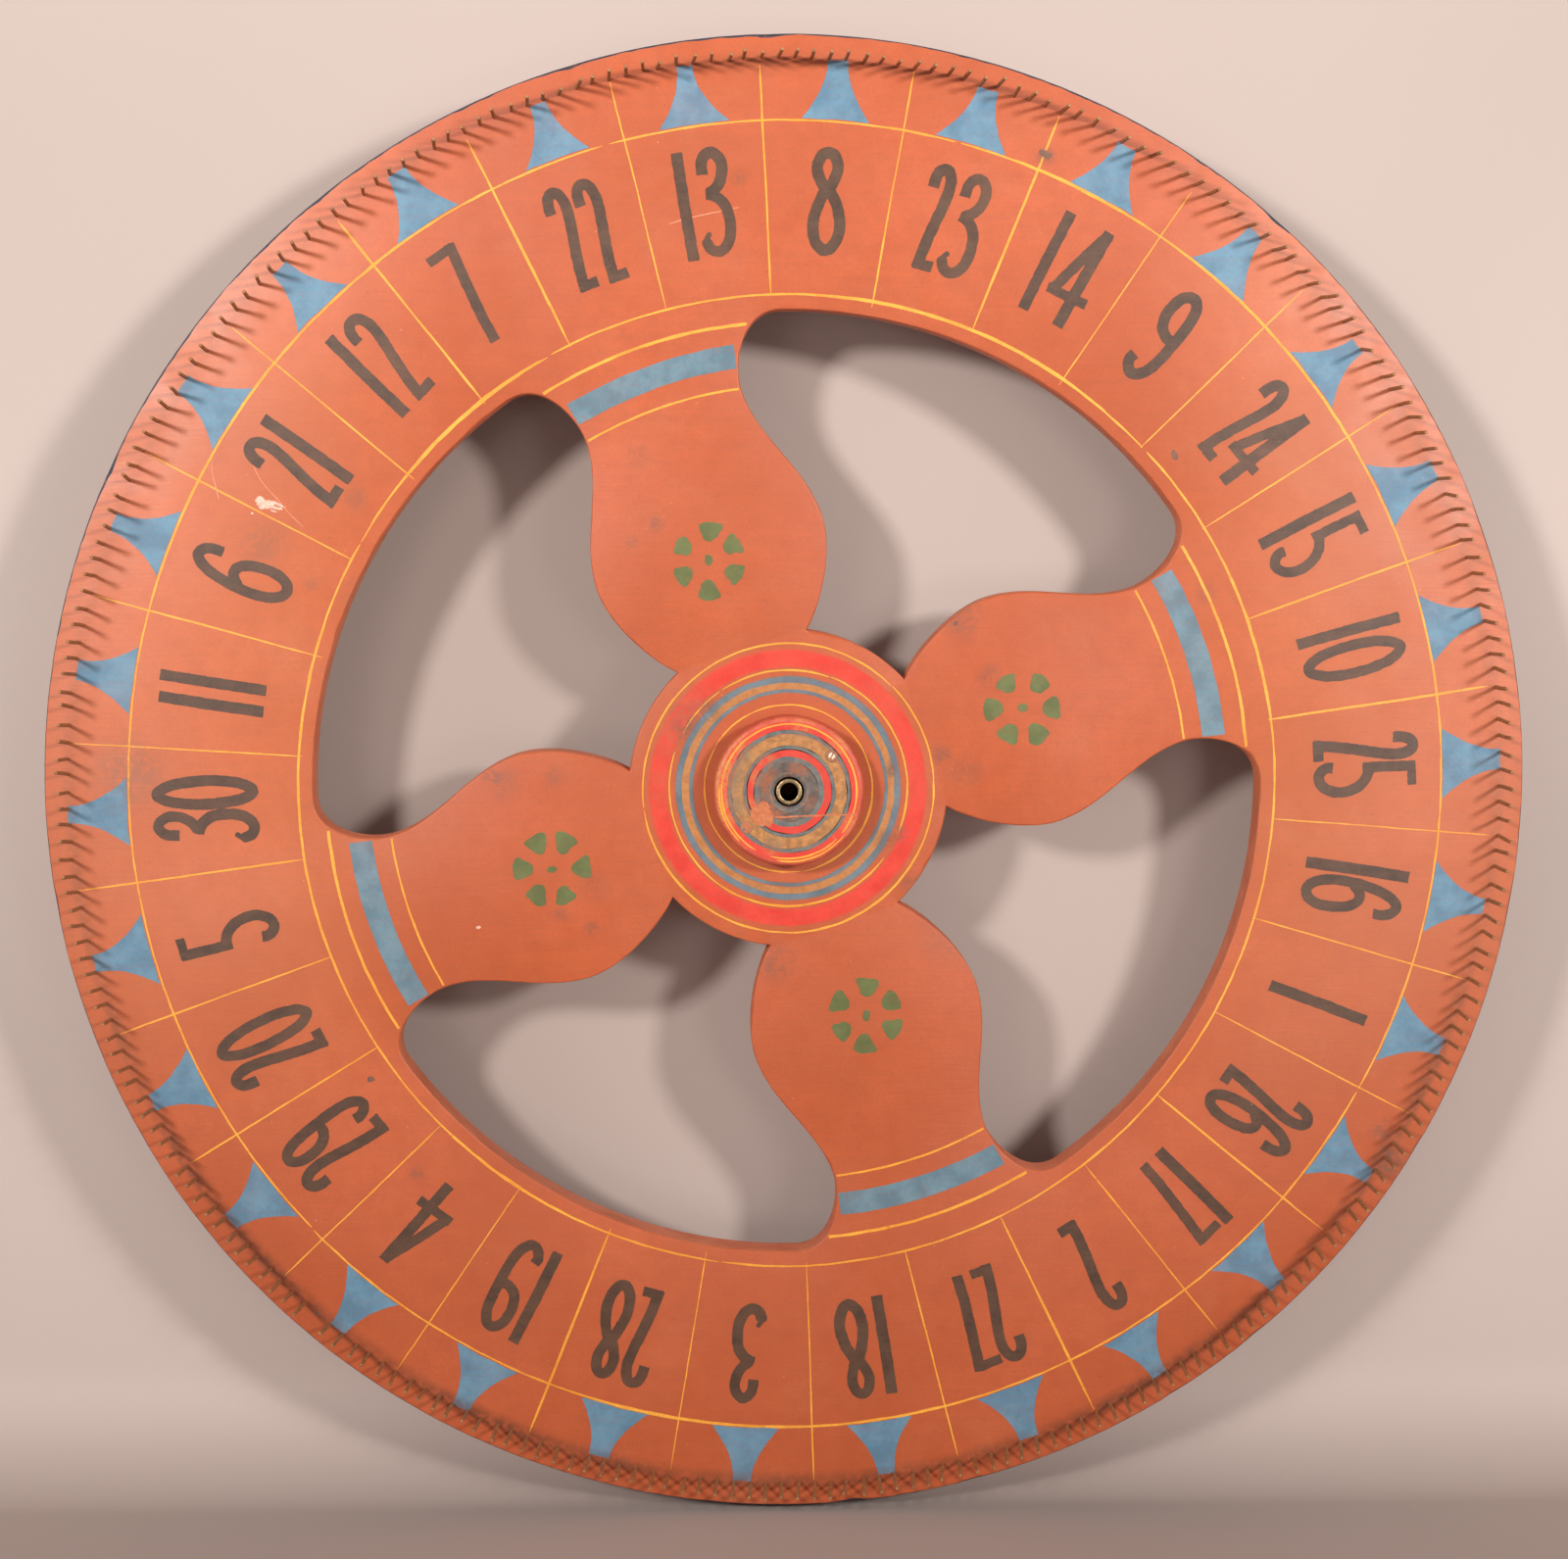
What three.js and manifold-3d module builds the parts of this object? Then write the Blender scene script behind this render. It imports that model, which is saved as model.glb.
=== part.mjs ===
// A carnival game wheel: a thick wooden board with four cut-outs and four spokes, a turned boss
// screwed over its centre, a metal axle sleeve that the wheel spins on, and a ring of headless
// nails that a flapper clicks against. Millimetres.
//
// The board is drawn facing the player: x to the right, y up, z out of its face. The last group
// stands it upright, so in the finished part +Z is up and the face looks along -Y. The origin is
// the centre of the board, on the axle. Angles are in degrees, clockwise from the top.
import * as THREE from "three";
import { mergeVertices } from "three/addons/utils/BufferGeometryUtils.js";
import Module from "manifold-3d";

const wasm = await Module();
wasm.setup();

// ---- Driving dimensions -----------------------------------------------------------------------
const INCH = 25.4;
const WHEEL_RADIUS = 18 * INCH;
const BOARD_THICKNESS = (7 / 8) * INCH;
const GAP = 0.3; // left between pieces that touch in the real object

// The cut-outs and the spokes between them.
const SPOKES = 4;
const FIRST_SPOKE_ANGLE = 71.6;
const HUB_RADIUS = 98.6;
const CUTOUT_RADIUS = 293;
const NOTCH_HALF_WIDTH = 41.5; // where a spoke meets the hub disc
const BULGE = { halfWidth: 72.8, distance: 153 };
const WAIST = { halfWidth: 50, distance: 240 };
const FILLET_HALF_WIDTH = 88; // where a spoke's flare runs into the rim

// The numbered sectors and their nails.
const SECTORS = 30;
const FIRST_SECTOR_ANGLE = 3.85;
const NAILS_PER_SECTOR = 9;
const MISSING_NAIL = { sector: 18, nail: 6 }; // one nail has been lost
const NAIL_CIRCLE_RADIUS = 443.3;
const NAIL_DIAMETER = 2.1;
const NAIL_STAND = 28; // how far a nail stands proud of the face
const NAIL_SIDES = 6;
// The nails of one sector stand on a thin strip let into the face, which makes them one solid.
const STRIP_WIDTH = 3;
const STRIP_DEPTH = 3;

// The hub: a turned boss, its two countersunk screws, and the sleeve.
const BOSS_RADIUS = 46;
const BOSS_HEIGHT = (3 / 4) * INCH;
const BOSS_ROUNDING = 2.6;
const BOSS_BORE_RADIUS = 9.1;
const SLEEVE_RADIUS = (5 / 16) * INCH;
const SLEEVE_BORE_RADIUS = (7 / 32) * INCH;
const SLEEVE_CHAMFER = 0.5;
const SLEEVE_STAND = 0.8; // proud of the boss in front and of the board behind
const RUNNING_CLEARANCE = 0.2;
const SCREW_CIRCLE_RADIUS = 34;
const SCREW_ANGLE = 50;
const SCREW_HEAD_RADIUS = 4;
const SCREW_SHANK_RADIUS = 2.1;
const SCREW_LENGTH = 1.5 * INCH;
const SCREW_POINT = 6;
const SCREW_SINK = 0.4; // the head's flat lies this far below the boss's face
const SCREW_SLOT = { width: 1.1, depth: 1.2 };

// Fineness of round shapes.
const RIM_SEGMENTS = 120;
const HUB_SEGMENTS = 48;
const SCREW_SEGMENTS = 16;

const FACE = BOARD_THICKNESS / 2;
const BACK = -BOARD_THICKNESS / 2;
const BOSS_FACE = FACE + BOSS_HEIGHT;
const BORE_RADIUS = (SLEEVE_RADIUS + RUNNING_CLEARANCE) / Math.cos(Math.PI / HUB_SEGMENTS);

// ---- Materials --------------------------------------------------------------------------------
const MATERIALS = {
  painted_wood: new THREE.MeshStandardMaterial({ color: 0xc8623f, roughness: 0.6 }),
  painted_boss: new THREE.MeshStandardMaterial({ color: 0xd9503c, roughness: 0.5 }),
  nail_steel: new THREE.MeshStandardMaterial({ color: 0x6b4a33, roughness: 0.7, metalness: 0.6 }),
  screw_steel: new THREE.MeshStandardMaterial({ color: 0xa08a70, roughness: 0.5, metalness: 0.8 }),
  sleeve_brass: new THREE.MeshStandardMaterial({ color: 0xbb9a6c, roughness: 0.45, metalness: 0.9 }),
};

// ---- Solids and booleans ----------------------------------------------------------------------
// A closed geometry as a manifold-3d solid.
function solidOf(geometry) {
  const bare = geometry.index ? geometry.toNonIndexed() : geometry.clone();
  bare.deleteAttribute("normal");
  bare.deleteAttribute("uv");
  const merged = mergeVertices(bare, 1e-3);
  return new wasm.Manifold(
    new wasm.Mesh({
      numProp: 3,
      vertProperties: new Float32Array(merged.attributes.position.array),
      triVerts: new Uint32Array(merged.index.array),
    }),
  );
}

// A manifold-3d solid as a geometry with flat faces.
function geometryOf(solid) {
  const mesh = solid.getMesh();
  const geometry = new THREE.BufferGeometry();
  geometry.setAttribute("position", new THREE.BufferAttribute(mesh.vertProperties, 3));
  geometry.setIndex(new THREE.BufferAttribute(mesh.triVerts, 1));
  const flat = geometry.toNonIndexed();
  flat.computeVertexNormals();
  return flat;
}

const without = (solid, ...tools) => tools.reduce((left, tool) => left.subtract(tool), solid);
const joined = (...solids) => solids.reduce((left, right) => left.add(right));

// A profile of [radius, height] points turned about z.
function turned(profile, segments) {
  const points = profile.map(([radius, height]) => new THREE.Vector2(radius, height));
  return new THREE.LatheGeometry(points, segments).rotateX(Math.PI / 2);
}

// A ring or plain disc from one height to another.
function ring(inner, outer, bottom, top, segments) {
  const profile = [
    [inner, bottom],
    [outer, bottom],
    [outer, top],
    [inner, top],
  ];
  if (inner > 0) profile.push([inner, bottom]);
  return solidOf(turned(profile, segments));
}

// A flat outline, with holes in it, raised from one height to another.
function raised(outline, holes, bottom, top) {
  const anticlockwise = THREE.ShapeUtils.isClockWise(outline) ? outline.toReversed() : outline;
  const shape = new THREE.Shape(anticlockwise);
  shape.holes = holes.map((points) => new THREE.Path(points));
  const geometry = new THREE.ExtrudeGeometry(shape, { depth: top - bottom, bevelEnabled: false });
  return solidOf(geometry.translate(0, 0, bottom));
}

// ---- Places on the wheel ----------------------------------------------------------------------
const radians = THREE.MathUtils.degToRad;

function polar(radius, angle) {
  return new THREE.Vector2(radius * Math.sin(radians(angle)), radius * Math.cos(radians(angle)));
}

// Points every few degrees along a circle about the centre, from one angle to another.
function arc(radius, from, to, pieces) {
  const points = [];
  for (let i = 0; i <= pieces; i++) points.push(polar(radius, from + ((to - from) * i) / pieces));
  return points;
}

// ---- The board --------------------------------------------------------------------------------
// One edge of a spoke, from its notch at the hub to where it meets the rim, on the clockwise side
// (side = 1) or the other (side = -1): two smooth swells and the flare into the rim.
function spokeEdge(axisAngle, side) {
  const along = polar(1, axisAngle);
  const across = polar(1, axisAngle + 90).multiplyScalar(side);
  const place = (halfWidth, distance) =>
    along.clone().multiplyScalar(distance).addScaledVector(across, halfWidth);
  const notchDistance = Math.sqrt(HUB_RADIUS ** 2 - NOTCH_HALF_WIDTH ** 2);
  const rimDistance = Math.sqrt(CUTOUT_RADIUS ** 2 - FILLET_HALF_WIDTH ** 2);
  const flare = 24 / CUTOUT_RADIUS; // the flare leaves the rim along its tangent
  const curves = [
    new THREE.CubicBezierCurve(
      place(NOTCH_HALF_WIDTH, notchDistance),
      place(54, 100),
      place(BULGE.halfWidth, BULGE.distance - 23),
      place(BULGE.halfWidth, BULGE.distance),
    ),
    new THREE.CubicBezierCurve(
      place(BULGE.halfWidth, BULGE.distance),
      place(BULGE.halfWidth, BULGE.distance + 32),
      place(WAIST.halfWidth, WAIST.distance - 30),
      place(WAIST.halfWidth, WAIST.distance),
    ),
    new THREE.CubicBezierCurve(
      place(WAIST.halfWidth, WAIST.distance),
      place(WAIST.halfWidth, WAIST.distance + 18),
      place(FILLET_HALF_WIDTH - flare * rimDistance, rimDistance + flare * FILLET_HALF_WIDTH),
      place(FILLET_HALF_WIDTH, rimDistance),
    ),
  ];
  return curves.flatMap((curve, i) => curve.getPoints(7).slice(i ? 1 : 0));
}

// The cut-out that follows one spoke clockwise.
function cutout(index) {
  const turn = 360 / SPOKES;
  const before = FIRST_SPOKE_ANGLE + turn * index;
  const after = before + turn;
  const flareAngle = THREE.MathUtils.radToDeg(Math.asin(FILLET_HALF_WIDTH / CUTOUT_RADIUS));
  const notchAngle = THREE.MathUtils.radToDeg(Math.asin(NOTCH_HALF_WIDTH / HUB_RADIUS));
  return [
    ...spokeEdge(before, 1),
    ...arc(CUTOUT_RADIUS, before + flareAngle, after - flareAngle, 14).slice(1, -1),
    ...spokeEdge(after, -1).reverse(),
    ...arc(HUB_RADIUS, after - notchAngle, before + notchAngle, 8).slice(1, -1),
  ];
}

function circle(radius, segments) {
  return arc(radius, 0, 360, segments).slice(0, -1);
}

const screwPlaces = [0, 180].map((turn) => polar(SCREW_CIRCLE_RADIUS, SCREW_ANGLE + turn));

// The hole that a screw needs: the screw's own shape, wider and longer by the gap.
function screwHole(place) {
  const top = BOSS_FACE + 1;
  const head = BOSS_FACE - SCREW_SINK;
  const end = BOSS_FACE - SCREW_SINK - SCREW_LENGTH - GAP;
  const shank = SCREW_SHANK_RADIUS + GAP;
  const profile = [
    [0, end],
    [shank, end + SCREW_POINT],
    [shank, head - SCREW_HEAD_RADIUS + SCREW_SHANK_RADIUS - GAP],
    [SCREW_HEAD_RADIUS + GAP, head - GAP],
    [SCREW_HEAD_RADIUS + GAP, top],
    [0, top],
  ];
  return solidOf(turned(profile, SCREW_SEGMENTS).translate(place.x, place.y, 0));
}

function board() {
  const cutouts = Array.from({ length: SPOKES }, (_, index) => cutout(index));
  const bore = circle(BORE_RADIUS, HUB_SEGMENTS);
  const blank = raised(circle(WHEEL_RADIUS, RIM_SEGMENTS), [...cutouts, bore], BACK, FACE);
  const half = STRIP_WIDTH / 2 + GAP + 0.1;
  const groove = ring(
    NAIL_CIRCLE_RADIUS - half,
    NAIL_CIRCLE_RADIUS + half,
    FACE - STRIP_DEPTH - GAP,
    FACE + 1,
    RIM_SEGMENTS,
  );
  return without(blank, groove, ...screwPlaces.map(screwHole));
}

// ---- The nails --------------------------------------------------------------------------------
// The nails of one sector, on their strip. The first stands on the line that opens the sector.
function nailsOfSector(sector) {
  const pitch = 360 / SECTORS / NAILS_PER_SECTOR;
  const first = FIRST_SECTOR_ANGLE + (360 / SECTORS) * (sector - 0.5);
  const margin = THREE.MathUtils.radToDeg(GAP / 2 / NAIL_CIRCLE_RADIUS);
  const from = first - pitch / 2 + margin;
  const to = first + pitch * (NAILS_PER_SECTOR - 0.5) - margin;
  const strip = raised(
    [
      ...arc(NAIL_CIRCLE_RADIUS + STRIP_WIDTH / 2, from, to, 4),
      ...arc(NAIL_CIRCLE_RADIUS - STRIP_WIDTH / 2, to, from, 4),
    ],
    [],
    FACE - STRIP_DEPTH,
    FACE,
  );
  const nails = [];
  for (let i = 0; i < NAILS_PER_SECTOR; i++) {
    if (sector === MISSING_NAIL.sector && i === MISSING_NAIL.nail) continue;
    const place = polar(NAIL_CIRCLE_RADIUS, first + pitch * i);
    const height = NAIL_STAND + STRIP_DEPTH / 2;
    const shank = new THREE.CylinderGeometry(
      NAIL_DIAMETER / 2,
      NAIL_DIAMETER / 2,
      height,
      NAIL_SIDES,
    );
    shank.rotateX(Math.PI / 2).translate(place.x, place.y, FACE + NAIL_STAND - height / 2);
    nails.push(solidOf(shank));
  }
  return joined(strip, ...nails);
}

// ---- The hub ----------------------------------------------------------------------------------
function boss() {
  const seat = FACE + GAP;
  const shoulder = BOSS_FACE - BOSS_ROUNDING;
  const rounding = [0, 30, 60, 90].map((angle) => [
    BOSS_RADIUS - BOSS_ROUNDING + BOSS_ROUNDING * Math.cos(radians(angle)),
    shoulder + BOSS_ROUNDING * Math.sin(radians(angle)),
  ]);
  const profile = [
    [BOSS_BORE_RADIUS, seat],
    [BOSS_RADIUS, seat],
    ...rounding,
    [BOSS_BORE_RADIUS, BOSS_FACE],
    [BOSS_BORE_RADIUS, seat],
  ];
  return without(solidOf(turned(profile, HUB_SEGMENTS)), ...screwPlaces.map(screwHole));
}

// A countersunk wood screw with a slotted head.
function screw(place) {
  const head = BOSS_FACE - SCREW_SINK;
  const end = head - SCREW_LENGTH;
  const profile = [
    [0, end],
    [SCREW_SHANK_RADIUS, end + SCREW_POINT],
    [SCREW_SHANK_RADIUS, head - SCREW_HEAD_RADIUS + SCREW_SHANK_RADIUS],
    [SCREW_HEAD_RADIUS, head],
    [0, head],
  ];
  const blank = solidOf(turned(profile, SCREW_SEGMENTS).translate(place.x, place.y, 0));
  const slot = new THREE.BoxGeometry(
    SCREW_SLOT.width,
    SCREW_HEAD_RADIUS * 3,
    SCREW_SLOT.depth * 2,
  );
  slot.rotateZ(radians(SCREW_ANGLE)).translate(place.x, place.y, head);
  return without(blank, solidOf(slot));
}

// The sleeve is clamped to the stand by the axle bolt, and the wheel turns on it.
function sleeve() {
  const back = BACK - SLEEVE_STAND;
  const front = BOSS_FACE + SLEEVE_STAND;
  const profile = [
    [SLEEVE_BORE_RADIUS, back],
    [SLEEVE_RADIUS - SLEEVE_CHAMFER, back],
    [SLEEVE_RADIUS, back + SLEEVE_CHAMFER],
    [SLEEVE_RADIUS, front - SLEEVE_CHAMFER],
    [SLEEVE_RADIUS - SLEEVE_CHAMFER, front],
    [SLEEVE_BORE_RADIUS, front],
    [SLEEVE_BORE_RADIUS, back],
  ];
  return solidOf(turned(profile, HUB_SEGMENTS));
}

// ---- The assembly -----------------------------------------------------------------------------
function piece(name, solid, material) {
  const mesh = new THREE.Mesh(geometryOf(solid), MATERIALS[material]);
  mesh.name = name;
  return mesh;
}

const upright = new THREE.Group();
upright.rotation.x = Math.PI / 2;

upright.add(piece("wheel_board", board(), "painted_wood"));
upright.add(piece("hub_boss", boss(), "painted_boss"));
upright.add(piece("axle_sleeve", sleeve(), "sleeve_brass"));
screwPlaces.forEach((place, i) => {
  upright.add(piece(["boss_screw_upper", "boss_screw_lower"][i], screw(place), "screw_steel"));
});
for (let sector = 0; sector < SECTORS; sector++) {
  const number = String(sector + 1).padStart(2, "0");
  upright.add(piece("nails_sector_" + number, nailsOfSector(sector), "nail_steel"));
}

const group = new THREE.Group();
group.name = "game_wheel";
group.add(upright);

export default group;
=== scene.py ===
"""Blender model of the painted fairground wheel: board, lettering, nails, boss and sleeve."""

import math
import random
import bpy
import numpy as np
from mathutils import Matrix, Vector, noise
from mathutils.geometry import delaunay_2d_cdt


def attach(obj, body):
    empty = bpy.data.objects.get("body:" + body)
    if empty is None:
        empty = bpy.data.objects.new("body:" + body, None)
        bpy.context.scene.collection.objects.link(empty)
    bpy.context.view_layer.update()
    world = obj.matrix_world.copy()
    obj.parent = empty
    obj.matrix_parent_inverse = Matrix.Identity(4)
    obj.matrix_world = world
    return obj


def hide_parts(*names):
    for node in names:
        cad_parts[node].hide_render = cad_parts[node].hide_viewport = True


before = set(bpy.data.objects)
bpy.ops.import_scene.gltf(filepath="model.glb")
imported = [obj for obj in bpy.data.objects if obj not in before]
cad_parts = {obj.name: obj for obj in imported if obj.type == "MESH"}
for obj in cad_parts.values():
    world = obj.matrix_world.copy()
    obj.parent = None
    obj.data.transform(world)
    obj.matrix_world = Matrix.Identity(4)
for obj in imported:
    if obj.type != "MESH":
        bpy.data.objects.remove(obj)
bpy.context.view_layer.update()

scene = bpy.context.scene
MM = 0.001
TURN = 2 * math.pi

# ---- Sizes, in millimetres, angles in degrees clockwise from the top ----
WHEEL_RADIUS = 457.2
FACE = 11.1125  # half the board's thickness: the front face lies this far in front of the origin
SPOKES = 4
FIRST_SPOKE_ANGLE = 71.6
HUB_RADIUS = 98.6
CUTOUT_RADIUS = 293.0
NOTCH_HALF_WIDTH = 41.5
BULGE = (72.8, 153.0)  # half width of a spoke at its widest, and how far out
WAIST = (50.0, 240.0)
FILLET_HALF_WIDTH = 88.0
SECTORS = 30
FIRST_SECTOR_ANGLE = 3.85
SECTOR = 360 / SECTORS
NAILS_PER_SECTOR = 9
MISSING_NAIL = (18, 6)  # sector and place in it, both counted from zero
NAIL_CIRCLE = 443.3
NAIL_RADIUS = 1.15  # with its rust
NAIL_STAND = 28.0
BOSS_RADIUS = 46.0
BOSS_HEIGHT = 19.05
BOSS_BORE = 9.1
SLEEVE_RADIUS = 7.9375
SLEEVE_BORE = 5.55625
SLEEVE_STAND = 0.8
SCREW_CIRCLE = 34.0
SCREW_ANGLE = 50.0
SCREW_RADIUS = 4.0

# The numbers clockwise from the top, with the left and right limits of each figure across the
# sector, measured from the sector's middle line.
NUMBERS = (
    ("8", -11.6, 11.2), ("23", -18.4, -2.4, -1.6, 20.4), ("14", -15.6, -7.2, -4.4, 22.4),
    ("9", -12.4, 9.6), ("24", -14.4, 2.4, 0.6, 24.8), ("15", -12.0, -2.4, 0.0, 21.6),
    ("10", -14.0, -5.0, -3.6, 20.0), ("25", -20.4, -3.0, -3.0, 20.0),
    ("16", -14.0, -5.6, -5.0, 19.0), ("1", -1.6, 6.8), ("26", -13.6, 3.0, 3.6, 23.6),
    ("17", -12.0, -3.6, -3.0, 16.0), ("2", -11.0, 6.4), ("27", -20.4, -1.0, -2.4, 16.8),
    ("18", -13.6, -6.4, -1.0, 19.0), ("3", -9.0, 12.0), ("28", -16.0, 1.6, 4.0, 23.0),
    ("19", -13.6, -5.6, -3.0, 18.4), ("4", -13.0, 12.4), ("29", -17.6, -0.4, 1.0, 20.0),
    ("20", -20.4, -4.4, -3.0, 18.0), ("5", -12.4, 9.0), ("30", -20.0, 1.6, 2.0, 22.0),
    ("11", -13.0, -3.6, 1.6, 8.4), ("6", -13.6, 10.0), ("21", -16.4, 2.4, 5.0, 14.4),
    ("12", -13.0, -2.4, -1.0, 19.6), ("7", -15.0, 6.0), ("22", -17.4, -1.0, 1.0, 18.0),
    ("13", -16.4, -7.0, -5.0, 17.6),
)
FIGURE_BASE = 326.2  # radius at the feet of the figures
FIGURE_HEIGHT = 66.0
BACKWARD_LEAN = {("21", 1)}  # an upright that leans the other way
INNER_CIRCLE, OUTER_CIRCLE = 302, 406  # radii of the yellow circles inside and outside them
PAINT_UNDER, PAINT_OVER = -0.15, 0.14  # a plate of paint reaches from under the face to over it

# Each figure as brush strokes: the width it is drawn at, then strokes of (half width, square
# start, square end, curved, points). Points are millimetres from the figure's lower left corner.
STROKE = 3.35
FIGURES = {
    "0": (23.6, [
        (STROKE, False, False, True, [
            (11.6, 62.6), (6.2, 55.5), (3.6, 42), (3.5, 26), (6.0, 10.5), (11.4, 3.4),
            (16.8, 9.5), (19.9, 23), (20.1, 39), (17.6, 54.5), (11.6, 62.6)]),
    ]),
    "1": (8.4, [
        (3.5, True, True, False, [(3.6, 66.2), (3.9, 34), (4.8, 0.3)]),
    ]),
    "2": (16.4, [
        (3.3, True, True, True, [
            (2.9, 51.2), (3.1, 57.2), (4.8, 62), (7.8, 63.6), (10.8, 62.0), (12.6, 57.2),
            (13.0, 50.6), (11.8, 40.6), (9.4, 26.6), (7.6, 13.6), (6.6, 0.6)]),
        (3.2, True, True, False, [(4.2, 3.6), (15.8, 3.9)]),
    ]),
    "3": (21.4, [
        (3.3, True, False, True, [
            (5.9, 50.4), (6.3, 57.2), (8.4, 61.4), (11.8, 63.2), (15.3, 61.2), (17.7, 55.6),
            (16.8, 48.6), (14, 43.0), (9.6, 39.4)]),
        (3.3, True, True, False, [(6.3, 38.6), (11.4, 37.6)]),
        (3.35, False, False, True, [
            (9.4, 37.8), (13.4, 35.2), (16.8, 29.6), (18.0, 20.6), (16.8, 11.4), (13.4, 5.6),
            (9, 3.6), (5.0, 5.6), (3.4, 9.2)]),
        (1.5, False, False, True, [(3.0, 10.0), (3.6, 12.2), (5.0, 14.4)]),
    ]),
    "4": (26.4, [
        (3.5, True, True, False, [(18.6, 65.6), (17.6, 34), (16.8, 0.4)]),
        (3.2, False, False, False, [(17.6, 61.4), (10.6, 41), (4.3, 20.4)]),
        (3.0, True, True, False, [(0.6, 19.0), (14, 19.4), (26.2, 20.2)]),
    ]),
    "5": (21.6, [
        (2.8, True, True, False, [(0.9, 62.4), (15.0, 62.9)]),
        (3.1, True, True, False, [(3.9, 64.6), (3.7, 48), (3.9, 31.8)]),
        (3.25, True, True, True, [
            (2.0, 35.0), (8, 34.6), (13.4, 30.6), (17.2, 23), (17.8, 14), (14.8, 6.6), (9.8, 3.4),
            (5.6, 5.0), (3.4, 9), (3.7, 12.6)]),
    ]),
    "6": (24.0, [
        (3.35, True, False, True, [
            (20.9, 48.4), (20.8, 54.4), (18.8, 59.8), (15, 62.4), (11, 60.2), (7.4, 53.4),
            (5, 43.4), (3.6, 32.4), (3.6, 21.4), (5.6, 11.0), (9.4, 4.9), (13.2, 3.4), (17.8, 6.0),
            (20.5, 13.4), (20.5, 23.4), (18.4, 32.4), (15, 37.0), (10.2, 37.6), (5.4, 33.4)]),
    ]),
    "7": (21.0, [
        (2.9, True, False, False, [(0.6, 62.0), (17.2, 62.6)]),
        (3.3, True, True, False, [(17.5, 65.4), (14, 41.4), (10.8, 15.4), (10, 0.6)]),
    ]),
    "8": (22.8, [
        (3.35, False, False, True, [
            (10.6, 40), (4.9, 48.4), (3.8, 54.4), (6, 60.6), (10.1, 62.7), (14.2, 60.6),
            (16.2, 54.4), (15, 48), (10.6, 40)]),
        (3.35, False, False, True, [
            (10.6, 40), (6, 31.4), (3.4, 20.4), (4.8, 9.8), (8.4, 4.8), (11.6, 3.4),
            (15.6, 5.8), (19, 12.8), (19.4, 21.4), (16.4, 32.4), (10.6, 40)]),
    ]),
    "9": (22.0, [
        (3.35, False, True, True, [
            (17.2, 33.4), (11.4, 34.2), (6.4, 37.6), (3.8, 44), (3.4, 51.4), (5, 58.4),
            (9.2, 62.6), (13.4, 61.8), (16.6, 57.0), (18.2, 48.4), (18.6, 34.4), (18.2, 20.4),
            (16.4, 10.4), (12.6, 4.6), (8.8, 3.4), (5.4, 6), (3.6, 9.8), (4.1, 13.8)]),
    ]),
}


# ---- Small tools ----
def srgb(*levels):
    """A colour as seen on screen, 0 to 255, as the linear colour that shaders take."""
    parts = [level / 255 for level in levels]
    return (*(v / 12.92 if v <= 0.04045 else ((v + 0.055) / 1.055) ** 2.4 for v in parts), 1.0)


def polar(radius, angle):
    return (radius * math.sin(math.radians(angle)), radius * math.cos(math.radians(angle)))


def rough(x, y, size, seed=0):
    """Smooth noise of about -1 to 1 over the face, with features about `size` across."""
    return 1.6 * noise.noise(Vector((x / size, y / size, 7.31 * seed + 0.37)))


def on_face(x, y, height):
    """A point of the face, x to the right, y up, height out of the board, in the row frame."""
    return (x * MM, -(FACE + height) * MM, y * MM)


def along_curve(points, per_span=8):
    """A smooth curve through the points; it closes smoothly if it ends where it starts."""
    pts = [np.array(p, float) for p in points]
    closed = np.allclose(pts[0], pts[-1])
    before = pts[-2] if closed else 2 * pts[0] - pts[1]
    after = pts[1] if closed else 2 * pts[-1] - pts[-2]
    pts = [before, *pts, after]
    out = []
    for a, b, c, d in zip(pts, pts[1:], pts[2:], pts[3:]):
        for i in range(per_span):
            t = i / per_span
            out.append(0.5 * (2 * b + (c - a) * t + (2 * a - 5 * b + 4 * c - d) * t * t
                              + (3 * b - a - 3 * c + d) * t ** 3))
    out.append(pts[-2])
    return out


def bezier(a, b, c, d, pieces):
    a, b, c, d = (np.array(p, float) for p in (a, b, c, d))
    points = []
    for i in range(pieces + 1):
        t, u = i / pieces, 1 - i / pieces
        points.append(tuple(a * u ** 3 + 3 * b * t * u ** 2 + 3 * c * t * t * u + d * t ** 3))
    return points


# ---- Outlines from fields ----
# A cell's corners are numbered anticlockwise from the lower left, and its sides from the bottom.
# Each case lists the sides that an outline enters and leaves by, with the inside on its left.
CELL_CASES = {
    1: [(0, 3)], 2: [(1, 0)], 3: [(1, 3)], 4: [(2, 1)], 5: [(0, 3), (2, 1)], 6: [(2, 0)],
    7: [(2, 3)], 8: [(3, 2)], 9: [(0, 2)], 10: [(1, 0), (3, 2)], 11: [(1, 2)], 12: [(3, 1)],
    13: [(0, 1)], 14: [(3, 0)],
}


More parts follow.
